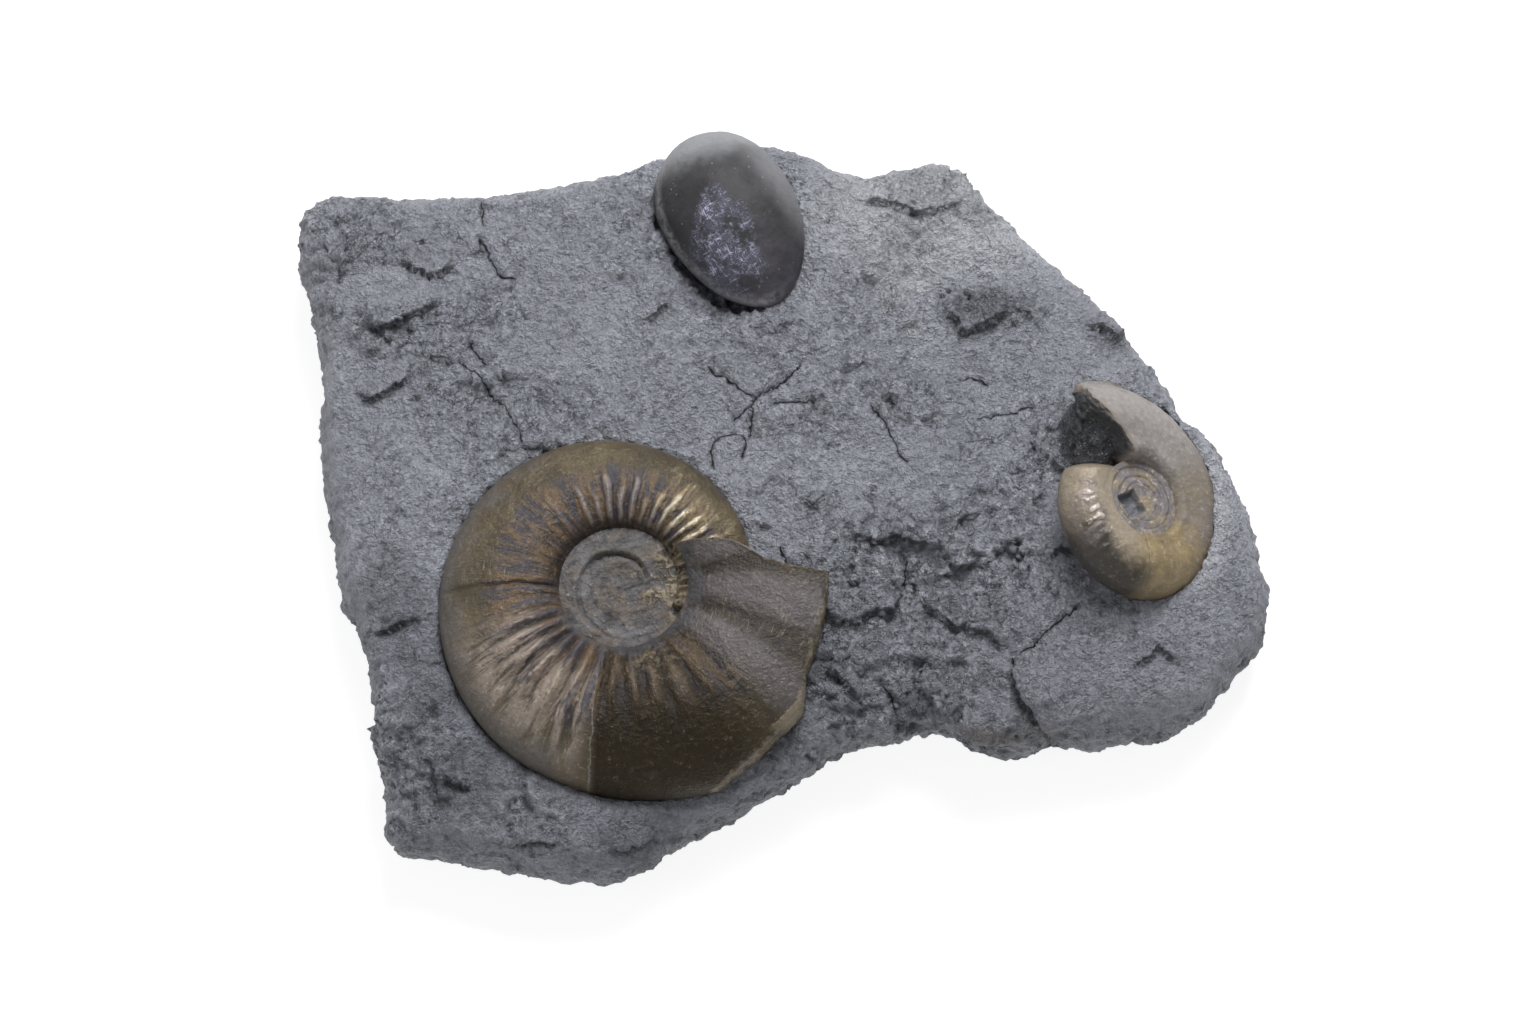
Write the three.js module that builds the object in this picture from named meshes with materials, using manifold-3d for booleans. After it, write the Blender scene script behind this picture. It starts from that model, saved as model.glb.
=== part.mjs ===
// A loose slab of blue-grey shale with three ammonites standing out of its upper face.
// Millimetres, +Z up. The origin is the middle of the flat underside.
// +X runs to the right of the slab as it is shown, and +Y runs to its upper edge.

import * as THREE from 'three';
import { mergeVertices } from 'three/addons/utils/BufferGeometryUtils.js';
import { ImprovedNoise } from 'three/addons/math/ImprovedNoise.js';
import Module from 'manifold-3d';

const wasm = await Module();
wasm.setup();

// Slab
const slabTop = 14.5;
const gridStep = 4.3;
const gridHalf = [61.5, 49.5];
const gridFloor = -2;
const rimWidth = 5;
const rimDrop = 2.2;
const wallStep = 3.8;
const wallJag = 0.9;
const ledgeSlope = 1.8;
const ledgeReach = 9;
const swell = { height: 0.7, length: 13 };
const crumble = { height: 0.8, length: 6 };

// Clearance between a fossil and its bed in the slab
const gap = 0.3;

// The slab's widest line, clockwise from the upper left corner
const outline = [
  [-58.9, 34.8], [-58.3, 37.2], [-55.8, 38.8], [-53.4, 39.5], [-49.3, 38.7], [-42.8, 38.8],
  [-37.3, 39.3], [-29.4, 40.1], [-23.5, 41.6], [-15.1, 43.5], [-11.3, 45.0], [-2.5, 45.6],
  [2.2, 45.4], [6.7, 42.9], [10.4, 42.0], [21.3, 43.0], [25.3, 39.2], [27.3, 36.5],
  [34.2, 30.5], [38.1, 26.6], [44.0, 18.9], [46.8, 16.2], [49.1, 11.2], [53.6, 6.1],
  [56.4, 0.8], [57.5, -3.0], [58.8, -11.7], [58.1, -16.6], [55.2, -19.9], [51.0, -25.3],
  [45.6, -27.8], [42.1, -27.8], [38.8, -29.2], [35.3, -27.9], [28.0, -29.8], [23.4, -29.1],
  [20.2, -26.4], [16.2, -26.6], [7.7, -29.6], [3.5, -32.5], [-4.6, -36.6], [-7.0, -38.4],
  [-10.7, -39.7], [-13.6, -41.8], [-16.1, -44.5], [-22.3, -45.2], [-29.9, -44.7], [-39.4, -42.5],
  [-44.2, -41.6], [-46.0, -42.6], [-47.5, -41.2], [-47.2, -38.0], [-48.2, -26.0], [-49.3, -23.4],
  [-49.4, -19.9], [-52.8, -10.1], [-53.4, -5.3], [-55.4, 5.5], [-55.8, 12.5], [-55.4, 18.3],
  [-57.4, 26.0],
];

// The slab's side from the underside up: height, and distance in from the outline
const sideProfile = [
  [0, 2.6], [2, 0.8], [6, 0], [10.5, 0.5], [13.8, 1.6], [30, 2.4],
];

// Ledges of split shale, with the high side on the left of the way from one end to the other
const ledges = [
  { from: [-46.8, 28.7], to: [-38.5, 27.3], drop: 1.3 },
  { from: [-49.9, 19.9], to: [-40.4, 23.1], drop: 1.5 },
  { from: [-50.2, 11.4], to: [-44.6, 13.9], drop: 1.0 },
  { from: [5.0, -5.6], to: [20.8, -7.6], drop: 1.5 },
  { from: [37.0, -15.0], to: [28.0, -22.0], drop: 1.0 },
];

// Broad rises and hollows of the upper face: middle, half length along X and Y, height
const rises = [
  { at: [17.4, -12.3], reach: [9, 6], height: -1.6 },
  { at: [-52.0, 30.6], reach: [7, 7], height: 0.9 },
  { at: [42.0, -24.1], reach: [14, 7], height: 0.9 },
  { at: [-41.8, -34.0], reach: [6, 8], height: -1.6 },
  { at: [41.0, -4.0], reach: [12, 14], height: 0.9 },
  { at: [26.4, 23.1], reach: [12, 8], height: -0.7 },
  { at: [-34.0, 2.0], reach: [8, 9], height: 0.7 },
  { at: [35.2, 6.6], reach: [3.2, 3.6], height: 2.4 },
];

// Coiled shells: radii and half width at angle 0, growth is the widening in one turn,
// and angles run anticlockwise from +X in degrees
const large = {
  at: [-19.0, -11.6, 14.3],
  tilt: 0,
  towards: 0,
  growth: 1.92,
  outer: 15.95,
  umbilicus: 6.8,
  slowing: 0.15,
  halfWidth: 4.4,
  firstTurns: [-332, -152],
  lastTurn: 28,
  chamberStart: 280,
  mouth: 405,
  ribs: 44,
  ribHeight: 0.5,
  ribLean: 6,
  colour: 0x6b573a,
};

const small = {
  at: [41.8, -1.9, 16.4],
  tilt: 38,
  towards: 14,
  growth: 1.75,
  outer: 7.5,
  umbilicus: 3.9,
  slowing: 0.3,
  halfWidth: 2.8,
  firstTurns: [-210, -30],
  lastTurn: 150,
  chamberStart: 420,
  mouth: 505,
  ribs: 0,
  ribHeight: 0,
  ribLean: 0,
  colour: 0x756a52,
};

// Plain turns have a ring every so many degrees, and the beds of shells more of them
const plainStep = 20;
const bedStep = 13;

// Each stretch of a shell is rooted in the one before: how far back, and how much smaller
const rootStep = 4;
const rootScale = 0.7;

// Upper half of a whorl's section, from the umbilicus out: share of the way out, share of half width
const flank = [
  [0, 0.3], [0.04, 0.66], [0.11, 0.88], [0.22, 0.98], [0.36, 1],
  [0.53, 0.95], [0.7, 0.82], [0.85, 0.6], [0.95, 0.34], [1, 0],
];
const underside = [[0.9, -0.55], [0.45, -1], [0.03, -0.6]];
const ribSpan = [0.04, 0.7];

// What is broken off the end of each shell, in plan from its coiling axis,
// and how far the same line moves out for the bed
const largeBreak = [
  [0, 7.1], [6.6, 5.6], [13.1, 3.7], [17.3, 2.7], [24.7, 1.6], [24.6, -1.1], [23.8, -6.1],
  [22.0, -11.1], [21.7, -15.4], [17.8, -19.1], [13.4, -22.9], [8.0, -27.2], [8, -40], [50, -40],
  [50, 40], [0, 40],
];
const largeBreakShift = [0.4, 0.3];
const smallBreak = [
  [-0.4, 0], [-0.4, 4.2], [-1.8, 6.9], [-3.6, 8.1], [-5.5, 10.1], [-6.7, 12.7], [-8.9, 14.4],
  [-10, 30], [-40, 30], [-40, 0],
];
const smallBreakShift = [-0.3, -0.2];
const breakDepth = 30;

// Smooth ammonite lying on its side: an egg with a blunt keel
const egg = {
  at: [-5.9, 34.0, 14.0],
  turn: 16,
  halfLength: 11.3,
  halfWidth: 8.5,
  rise: 8.6,
  rings: 11,
  taper: 0.12,
  colour: 0x3c3a42,
};
const eggSection = [
  [-1, 0], [-0.97, 0.34], [-0.8, 0.63], [-0.48, 0.87], [0, 1], [0.34, 1.01], [0.6, 0.87],
  [0.82, 0.6], [0.96, 0.3], [1, 0], [0.85, -0.35], [0.4, -0.55], [-0.4, -0.55], [-0.85, -0.35],
];

const slabColour = 0x5f646c;
const degree = Math.PI / 180;
const noise = new ImprovedNoise();

function smooth(value) {
  return THREE.MathUtils.smoothstep(value, 0, 1);
}

// Closed skin over a row of rings that all have the same number of points
function loft(rings) {
  const count = rings[0].length;
  const points = rings.flat();
  const faces = [];
  for (let ring = 0; ring < rings.length - 1; ring += 1) {
    for (let i = 0; i < count; i += 1) {
      const a = ring * count + i;
      const b = ring * count + ((i + 1) % count);
      faces.push(a, b, b + count, a, b + count, a + count);
    }
  }
  closeEnd(points, faces, rings[0], 0, true);
  closeEnd(points, faces, rings.at(-1), (rings.length - 1) * count, false);
  if (volumeOf(points, faces) < 0) faces.reverse();
  const geometry = new THREE.BufferGeometry().setFromPoints(points);
  geometry.setIndex(faces);
  return geometry;
}

// Fan from the middle of an end ring
function closeEnd(points, faces, ring, first, flipped) {
  const middle = new THREE.Vector3();
  for (const point of ring) middle.addScaledVector(point, 1 / ring.length);
  const centre = points.length;
  points.push(middle);
  for (let i = 0; i < ring.length; i += 1) {
    const a = first + i;
    const b = first + ((i + 1) % ring.length);
    faces.push(flipped ? b : a, flipped ? a : b, centre);
  }
}

// Six times the volume inside the faces, negative where they face inwards
function volumeOf(points, faces) {
  const across = new THREE.Vector3();
  let volume = 0;
  for (let i = 0; i < faces.length; i += 3) {
    across.crossVectors(points[faces[i + 1]], points[faces[i + 2]]);
    volume += across.dot(points[faces[i]]);
  }
  return volume;
}

function solidFrom(geometry) {
  geometry.deleteAttribute('normal');
  geometry.deleteAttribute('uv');
  const merged = mergeVertices(geometry, 1e-4);
  return new wasm.Manifold(new wasm.Mesh({
    numProp: 3,
    vertProperties: new Float32Array(merged.attributes.position.array),
    triVerts: new Uint32Array(merged.index.array),
  }));
}

function geometryFrom(solid) {
  const mesh = solid.getMesh();
  const geometry = new THREE.BufferGeometry();
  geometry.setAttribute('position', new THREE.BufferAttribute(mesh.vertProperties, 3));
  geometry.setIndex(new THREE.BufferAttribute(mesh.triVerts, 1));
  geometry.computeVertexNormals();
  return geometry;
}

function meshOf(name, geometry, color, roughness, metalness) {
  const material = new THREE.MeshStandardMaterial({ color, roughness, metalness });
  const mesh = new THREE.Mesh(geometry, material);
  mesh.name = name;
  return mesh;
}

// Upright prism over a plan outline that is moved by a shift
function prism(plan, [shiftX, shiftY]) {
  const shape = new THREE.Shape(plan.map(([x, y]) => new THREE.Vector2(x + shiftX, y + shiftY)));
  const geometry = new THREE.ExtrudeGeometry(shape, { depth: 2 * breakDepth, bevelEnabled: false });
  return geometry.translate(0, 0, -breakDepth);
}

// One closed ring of a coiled shell, in the half plane at its angle
function whorlRing(shell, angle, grow) {
  const size = shell.growth ** (angle / 360);
  const turns = (angle - shell.lastTurn) / 360;
  const widening = turns > 0 ? turns * shell.slowing : turns;
  const inner = shell.umbilicus * shell.growth ** widening - grow;
  const outer = shell.outer * size + grow;
  const half = shell.halfWidth * size + grow;
  const ribbed = grow === 0 && turns > 0;
  return [...flank, ...underside].map(([out, up]) => {
    const radius = inner + (outer - inner) * out;
    const rib = ribbed && up > 0 ? ribAt(shell, angle, out) * size : 0;
    const turn = angle * degree;
    return new THREE.Vector3(radius * Math.cos(turn), radius * Math.sin(turn), half * up + rib);
  });
}

// Height of the ribs, which start at the umbilicus and fade before the outer edge
function ribAt(shell, angle, out) {
  const fade = smooth((out - ribSpan[0] + 0.06) / 0.08) * smooth((ribSpan[1] - out) / 0.3);
  const wave = Math.cos((angle - shell.ribLean * out) * shell.ribs * degree);
  return shell.ribHeight * fade * wave;
}

function shrunk(ring, scale) {
  const middle = new THREE.Vector3();
  for (const point of ring) middle.addScaledVector(point, 1 / ring.length);
  return ring.map((point) => point.clone().lerp(middle, 1 - scale));
}

// Stretch of the spiral tube between two angles, rooted in the stretch before it
function whorl(shell, start, end, grow) {
  const ribbed = grow === 0 && shell.ribs > 0 && start >= shell.lastTurn;
  const plain = grow > 0 ? bedStep : plainStep;
  const step = ribbed ? 180 / shell.ribs : plain;
  const steps = Math.ceil((end - start) / step);
  const rings = [shrunk(whorlRing(shell, start - rootStep, grow), rootScale)];
  for (let i = 0; i <= steps; i += 1) {
    rings.push(whorlRing(shell, start + ((end - start) * i) / steps, grow));
  }
  return solidFrom(loft(rings));
}

// Whole shell, with its first turns closed by a round seed and its end broken off
function coiledShell(shell, broken, shift, grow) {
  const half = (shell.lastTurn + shell.chamberStart) / 2;
  const stops = [...shell.firstTurns, shell.lastTurn, half, shell.chamberStart];
  const seed = new THREE.SphereGeometry(shell.umbilicus + 0.3, 16, 8).rotateX(90 * degree);
  const seedHeight = 0.6 * shell.halfWidth * shell.growth ** (stops[0] / 360);
  let solid = solidFrom(seed.scale(1, 1, seedHeight / shell.umbilicus));
  for (let i = 0; i < stops.length - 1; i += 1) {
    solid = solid.add(whorl(shell, stops[i], stops[i + 1], grow));
  }
  const chamber = whorl(shell, shell.chamberStart, shell.mouth, grow);
  return geometryFrom(solid.add(chamber.subtract(solidFrom(prism(broken, shift)))));
}

function eggGeometry(grow) {
  const rings = [];
  for (let i = 0; i < egg.rings; i += 1) {
    const along = Math.sin((i / (egg.rings - 1) - 0.5) * Math.PI * 0.94);
    const swelling = Math.sqrt(1 - along * along) * (1 + egg.taper * along);
    rings.push(eggSection.map(([across, up]) => new THREE.Vector3(
      across * swelling * (egg.halfWidth + grow),
      along * (egg.halfLength + grow),
      up * Math.sqrt(swelling) * (egg.rise + grow),
    )));
  }
  return loft(rings);
}

// Distance from a point of the upper face to the slab's outline, negative outside it
function rimDistance(x, y) {
  let nearest = Infinity;
  let inside = false;
  outline.forEach(([ax, ay], i) => {
    const [bx, by] = outline[(i + 1) % outline.length];
    const length = (bx - ax) ** 2 + (by - ay) ** 2;
    const t = THREE.MathUtils.clamp(((x - ax) * (bx - ax) + (y - ay) * (by - ay)) / length, 0, 1);
    nearest = Math.min(nearest, Math.hypot(x - ax - t * (bx - ax), y - ay - t * (by - ay)));
    if (ay > y !== by > y && x < ax + ((y - ay) * (bx - ax)) / (by - ay)) inside = !inside;
  });
  return inside ? nearest : -nearest;
}

function ledgeHeight({ from, to, drop }, x, y) {
  const length = Math.hypot(to[0] - from[0], to[1] - from[1]);
  const along = [(to[0] - from[0]) / length, (to[1] - from[1]) / length];
  const t = ((x - from[0]) * along[0] + (y - from[1]) * along[1]) / length;
  const side = (y - from[1]) * along[0] - (x - from[0]) * along[1];
  const ends = smooth((t + 0.3) / 0.3) * smooth((1.3 - t) / 0.3);
  const reach = 1 - smooth(Math.abs(side) / ledgeReach);
  return drop * (smooth(side / ledgeSlope + 0.5) - 0.5) * ends * reach;
}

function riseHeight({ at, reach, height }, x, y) {
  const far = Math.hypot((x - at[0]) / reach[0], (y - at[1]) / reach[1]);
  return height * (1 - smooth(far / 1.5));
}

function slabHeight(x, y) {
  let height = slabTop - rimDrop * (1 - smooth(rimDistance(x, y) / rimWidth));
  height += swell.height * noise.noise(x / swell.length, y / swell.length, 3.7);
  height += crumble.height * noise.noise(x / crumble.length, y / crumble.length, 8.3);
  for (const ledge of ledges) height += ledgeHeight(ledge, x, y);
  for (const rise of rises) height += riseHeight(rise, x, y);
  return height;
}

// Block under the upper face, wider than the slab, made of one ring for each row
function faceBlock() {
  const [halfX, halfY] = gridHalf;
  const columns = Math.round((2 * halfX) / gridStep);
  const rows = Math.round((2 * halfY) / gridStep);
  const rings = [];
  for (let row = 0; row <= rows; row += 1) {
    const y = -halfY + (2 * halfY * row) / rows;
    const ring = [];
    for (let column = 0; column <= columns; column += 1) {
      const x = -halfX + (2 * halfX * column) / columns;
      ring.push(new THREE.Vector3(x, y, slabHeight(x, y)));
    }
    ring.push(new THREE.Vector3(halfX, y, gridFloor), new THREE.Vector3(-halfX, y, gridFloor));
    rings.push(ring);
  }
  return solidFrom(loft(rings));
}

// Column inside the slab's crumbling side, from the underside to above the upper face
function sideColumn() {
  const plan = outline.flatMap(([ax, ay], i) => {
    const [bx, by] = outline[(i + 1) % outline.length];
    const pieces = Math.max(1, Math.round(Math.hypot(bx - ax, by - ay) / wallStep));
    return Array.from({ length: pieces }, (_, k) => [
      ax + ((bx - ax) * k) / pieces,
      ay + ((by - ay) * k) / pieces,
    ]);
  });
  const rings = sideProfile.map(([z, inset]) => plan.map(([x, y]) => {
    const radius = Math.hypot(x, y);
    const jag = wallJag * noise.noise(x / 3.1, y / 3.1, z / 4 + 0.4);
    const share = 1 - (inset - jag) / radius;
    return new THREE.Vector3(x * share, y * share, z);
  }));
  return solidFrom(loft(rings));
}

// Puts a coiled shell at its place, tipped down towards its own direction
function settle(mesh, shell) {
  const down = shell.towards * degree;
  const hinge = new THREE.Vector3(-Math.sin(down), Math.cos(down), 0);
  mesh.setRotationFromAxisAngle(hinge, shell.tilt * degree);
  mesh.position.set(...shell.at);
}

const largeAmmonite = meshOf(
  'large_ammonite',
  coiledShell(large, largeBreak, [0, 0], 0),
  large.colour,
  0.38,
  0.45,
);
settle(largeAmmonite, large);

const smallAmmonite = meshOf(
  'small_ammonite',
  coiledShell(small, smallBreak, [0, 0], 0),
  small.colour,
  0.5,
  0.3,
);
settle(smallAmmonite, small);

const smoothAmmonite = meshOf('smooth_ammonite', eggGeometry(0), egg.colour, 0.3, 0.2);
smoothAmmonite.position.set(...egg.at);
smoothAmmonite.rotation.z = egg.turn * degree;

// The bed of a fossil is the fossil itself, grown by the gap and set where it lies
function bedOf(mesh, geometry) {
  mesh.updateMatrix();
  return solidFrom(geometry.applyMatrix4(mesh.matrix));
}

const slabSolid = faceBlock()
  .intersect(sideColumn())
  .subtract(bedOf(largeAmmonite, coiledShell(large, largeBreak, largeBreakShift, gap)))
  .subtract(bedOf(smallAmmonite, coiledShell(small, smallBreak, smallBreakShift, gap)))
  .subtract(bedOf(smoothAmmonite, eggGeometry(gap)));
const slab = meshOf('shale_slab', geometryFrom(slabSolid), slabColour, 0.9, 0);

const part = new THREE.Group();
part.add(slab, largeAmmonite, smallAmmonite, smoothAmmonite);

export default part;
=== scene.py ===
# %% [markdown]
# # Ammonites in a slab of shale
# A loose piece of blue-grey shale, about 118 mm long, carries three fossils. A ribbed coiled
# shell with a bronze skin lies flat at the left, a smaller one is tilted at the right edge, and
# a smooth dark one lies on its side at the top, so it shows as an egg.
# The CAD model gives the places and sizes, and each of its four solids is replaced here by a
# piece with the real surface. Sizes are in mm and turns in degrees, unless a comment says
# otherwise.

# %% Load the frame
import math

import bpy
from mathutils import Matrix, Vector


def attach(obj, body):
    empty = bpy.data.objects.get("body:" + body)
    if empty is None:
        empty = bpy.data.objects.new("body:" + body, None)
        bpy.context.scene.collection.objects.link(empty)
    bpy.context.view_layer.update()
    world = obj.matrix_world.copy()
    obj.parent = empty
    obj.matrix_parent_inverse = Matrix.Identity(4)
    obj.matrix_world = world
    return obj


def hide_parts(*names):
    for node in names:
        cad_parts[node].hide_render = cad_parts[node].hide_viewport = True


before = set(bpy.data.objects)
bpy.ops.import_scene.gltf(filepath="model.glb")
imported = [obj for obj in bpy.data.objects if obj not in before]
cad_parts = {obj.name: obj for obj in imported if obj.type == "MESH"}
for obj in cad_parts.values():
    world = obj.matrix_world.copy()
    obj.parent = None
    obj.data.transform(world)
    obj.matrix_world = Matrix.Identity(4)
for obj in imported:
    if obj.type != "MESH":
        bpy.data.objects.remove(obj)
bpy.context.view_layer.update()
MM = 0.001

# %% [markdown]
# ## Node trees written as sums
# A material and a Geometry Nodes modifier are both trees of nodes. One small class wraps an
# output socket, so that `a * b + 1` adds the Math nodes itself, and another wraps the tree and
# adds any other node. That keeps a long pattern readable from top to bottom.

# %% Sockets and webs of nodes
class Sock:
    """One output socket. Arithmetic on it adds Math nodes."""

    def __init__(self, web, socket):
        self.web = web
        self.socket = socket

    def __add__(self, other):
        return self.web.maths("ADD", self, other)

    def __sub__(self, other):
        return self.web.maths("SUBTRACT", self, other)

    def __rsub__(self, other):
        return self.web.maths("SUBTRACT", other, self)

    def __mul__(self, other):
        return self.web.maths("MULTIPLY", self, other)

    def __truediv__(self, other):
        return self.web.maths("DIVIDE", self, other)

    def __rtruediv__(self, other):
        return self.web.maths("DIVIDE", other, self)

    def __pow__(self, other):
        return self.web.maths("POWER", self, other)

    def __rpow__(self, other):
        return self.web.maths("POWER", other, self)

    def __abs__(self):
        return self.web.maths("ABSOLUTE", self)

    __radd__ = __add__
    __rmul__ = __mul__


class Web:
    """A tree of nodes, of a material or of a Geometry Nodes modifier."""

    def __init__(self, tree):
        self.tree = tree

    def node(self, kind, settings=None, values=None, out=0):
        """Adds a node, sets it up, then fills its sockets with numbers or links."""
        made = self.tree.nodes.new(kind)
        for name, value in (settings or {}).items():
            setattr(made, name, value)
        for name, value in (values or {}).items():
            if isinstance(value, Sock):
                self.tree.links.new(value.socket, made.inputs[name])
            else:
                made.inputs[name].default_value = value
        return Sock(self, made.outputs[out])

    def maths(self, operation, *values):
        return self.node("ShaderNodeMath", {"operation": operation}, dict(enumerate(values)))

    def least(self, a, b):
        return self.maths("MINIMUM", a, b)

    def most(self, a, b):
        return self.maths("MAXIMUM", a, b)

    def sine(self, value):
        return self.maths("SINE", value)

    def logarithm(self, value, base):
        return self.maths("LOGARITHM", value, base)

    def floor(self, value):
        return self.maths("FLOOR", value)

    def fraction(self, value):
        return self.maths("FRACT", value)

    def bearing(self, x, y):
        """Direction of a place from the axis, in whole turns from -0.5 to 0.5."""
        return self.maths("ARCTAN2", y, x) / math.tau

    def ramp(self, value, low, high, start=0.0, end=1.0, kind="SMOOTHSTEP"):
        """Goes from start to end as the value goes from low to high."""
        return self.node(
            "ShaderNodeMapRange",
            {"interpolation_type": kind},
            {0: value, 1: low, 2: high, 3: start, 4: end},
        )

    def between(self, value, start, full, still_full, end):
        """1 from full to still_full, fading to 0 at start and at end."""
        return self.ramp(value, start, full) * self.ramp(value, end, still_full)

    def table(self, value, points):
        """Straight lines through points, each a pair of a value and what it gives."""
        total = points[0][1]
        for (low, start), (high, end) in zip(points, points[1:]):
            total = self.ramp(value, low, high, 0.0, end - start, "LINEAR") + total
        return total

    def blend(self, mask, a, b):
        """Number a where the mask is 0, number b where it is 1."""
        return self.node("ShaderNodeMix", {}, {0: mask, 2: a, 3: b})

    def split(self, vector):
        node = self.node("ShaderNodeSeparateXYZ", {}, {0: vector}).socket.node
        return [Sock(self, node.outputs[i]) for i in range(3)]

    def join(self, x, y, z):
        return self.node("ShaderNodeCombineXYZ", {}, {0: x, 1: y, 2: z})

    def vector(self, operation, a, b, out=0):
        return self.node("ShaderNodeVectorMath", {"operation": operation}, {0: a, 1: b}, out)

    def length(self, vector):
        return self.vector("LENGTH", vector, (0, 0, 0), "Value")

    def dot(self, a, b):
        return self.vector("DOT_PRODUCT", a, b, "Value")

    def stretch(self, vector, factor):
        values = {0: vector, "Scale": factor}
        return self.node("ShaderNodeVectorMath", {"operation": "SCALE"}, values)

    def noise(self, vector, size, detail=2.0, roughness=0.5, distortion=0.0):
        """Soft noise around 0.5, with blobs of a size in mm on a place in mm."""
        values = {
            "Vector": vector,
            "Scale": 1 / size,
            "Detail": detail,
            "Roughness": roughness,
            "Distortion": distortion,
        }
        return self.node("ShaderNodeTexNoise", {}, values)

    def uneven(self, vector, size, height, detail=2.0, roughness=0.5):
        """Soft noise around 0, times a height."""
        return (self.noise(vector, size, detail, roughness) - 0.5) * height

    def scatter(self, vector, size):
        """Vector of soft noise around 0."""
        values = {"Vector": vector, "Scale": 1 / size, "Detail": 3.0, "Roughness": 0.6}
        colour = self.node("ShaderNodeTexNoise", {}, values, "Color")
        return self.vector("SUBTRACT", colour, (0.5, 0.5, 0.5))

    def pulled(self, vector, size, reach):
        """A place pulled about by soft noise, which makes a pattern on it irregular."""
        return self.vector("ADD", vector, self.stretch(self.scatter(vector, size), reach))

    def cells(self, vector, size, feature="F1"):
        """Voronoi cells of a size in mm: how far each place is from its cell's point."""
        values = {"Vector": vector, "Scale": 1 / size}
        return self.node("ShaderNodeTexVoronoi", {"feature": feature}, values)

    def cell_edges(self, vector, size):
        """Distance in mm to the nearest edge between two cells."""
        return self.cells(vector, size, "DISTANCE_TO_EDGE") * size


# %% [markdown]
# ## Reshaping with Geometry Nodes
# A modifier of nodes can move every point of a mesh by a formula, which suits rock and shell.
# Each one is made by a recipe, a function that gets the web and the geometry, and is applied
# at once, so only the finished mesh is left.

# %% Selecting, applying and carving
def only(piece, *others):
    """Leaves just these objects selected, and the first one active."""
    bpy.ops.object.select_all(action="DESELECT")
    for chosen in (piece, *others):
        chosen.select_set(True)
    bpy.context.view_layer.objects.active = piece


def apply_modifier(piece, kind, **settings):
    only(piece)
    modifier = piece.modifiers.new(kind.title(), kind)
    for name, value in settings.items():
        setattr(modifier, name, value)
    bpy.ops.object.modifier_apply(modifier=modifier.name)


def carve(piece, title, recipe):
    """Runs a recipe of nodes on a piece's geometry and applies it."""
    tree = bpy.data.node_groups.new(title, "GeometryNodeTree")
    for way in ("INPUT", "OUTPUT"):
        tree.interface.new_socket("Geometry", in_out=way, socket_type="NodeSocketGeometry")
    web = CarvingWeb(tree)
    carved = recipe(web, web.node("NodeGroupInput"))
    web.node_end("NodeGroupOutput", carved)
    apply_modifier(piece, "NODES", node_group=tree)


class CarvingWeb(Web):
    """Web of a Geometry Nodes modifier."""

    def node_end(self, kind, geometry):
        end = self.tree.nodes.new(kind)
        self.tree.links.new(geometry.socket, end.inputs[0])

    def place(self):
        """Place of each point, in mm."""
        return self.stretch(self.node("GeometryNodeInputPosition"), 1 / MM)

    def normal(self):
        return self.node("GeometryNodeInputNormal")

    def put(self, geometry, place):
        """Moves the points to a place in mm."""
        values = {"Geometry": geometry, "Position": self.stretch(place, MM)}
        return self.node("GeometryNodeSetPosition", {}, values)

    def push(self, geometry, height):
        """Moves the points along their normals by a height in mm."""
        offset = self.stretch(self.normal(), height * MM)
        return self.node("GeometryNodeSetPosition", {}, {"Geometry": geometry, "Offset": offset})

    def keep(self, geometry, **numbers):
        """Stores named numbers on every point, for later recipes and for the material."""
        settings = {"data_type": "FLOAT", "domain": "POINT"}
        for name, value in numbers.items():
            values = {"Geometry": geometry, "Name": name, "Value": value}
            geometry = self.node("GeometryNodeStoreNamedAttribute", settings, values)
        return geometry

    def kept(self, name):
        settings = {"data_type": "FLOAT"}
        return self.node("GeometryNodeInputNamedAttribute", settings, {"Name": name})

    def blurred(self, vector, rounds, weight=1.0):
        """A vector averaged with those of the neighbouring points, a number of times."""
        settings = {"data_type": "FLOAT_VECTOR"}
        return self.node("GeometryNodeBlurAttribute", settings, {0: vector, 1: rounds, 2: weight})

    def mesh_of(self, other):
        return self.node("GeometryNodeObjectInfo", {}, {"Object": other}, out="Geometry")

    def nearest(self, target, place, element="FACES", out="Distance"):
        """Distance or place, in mm, of the nearest part of a mesh to a place in mm."""
        settings = {"target_element": element}
        values = {0: target, "Source Position": self.stretch(place, MM)}
        found = self.node("GeometryNodeProximity", settings, values, out=out)
        return self.stretch(found, 1 / MM) if out == "Position" else found / MM


# %% [markdown]
# ## Camera
# The photograph looks down on the slab, 75 degrees above the table, from far away with a long
# lens, so that nothing converges. Its frame is 1536 x 1024, and one pixel is 0.12 mm on the
# slab's upper face.

# %% Camera
ELEVATION = math.radians(75)
LOOK_AT = Vector((-1.44, -1.92, 15)) * MM
PHOTO_WIDTH = 1536
MM_PER_PIXEL = 0.12
FRAME_WIDTH = PHOTO_WIDTH * MM_PER_PIXEL * MM
LENS = 200
SENSOR = 36
distance = FRAME_WIDTH * LENS / SENSOR
away = Vector((0, -math.cos(ELEVATION), math.sin(ELEVATION)))
bpy.ops.object.camera_add(
    location=LOOK_AT + away * distance, rotation=(math.pi / 2 - ELEVATION, 0, 0)
)
camera = bpy.context.object
camera.data.lens = LENS
camera.data.sensor_width = SENSOR
camera.data.clip_end = 10
bpy.context.scene.camera = camera
print("camera distance in mm:", round(distance / MM))

# %% [markdown]
# ## Table and light
# The photograph has a white ground and soft light from above and behind, so the fossils shade
# towards the lower left. A wide lamp behind the slab gives that, and a pale world fills in.
# The ground is whiter than the light on it would make it, so the table also glows a little.

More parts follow.
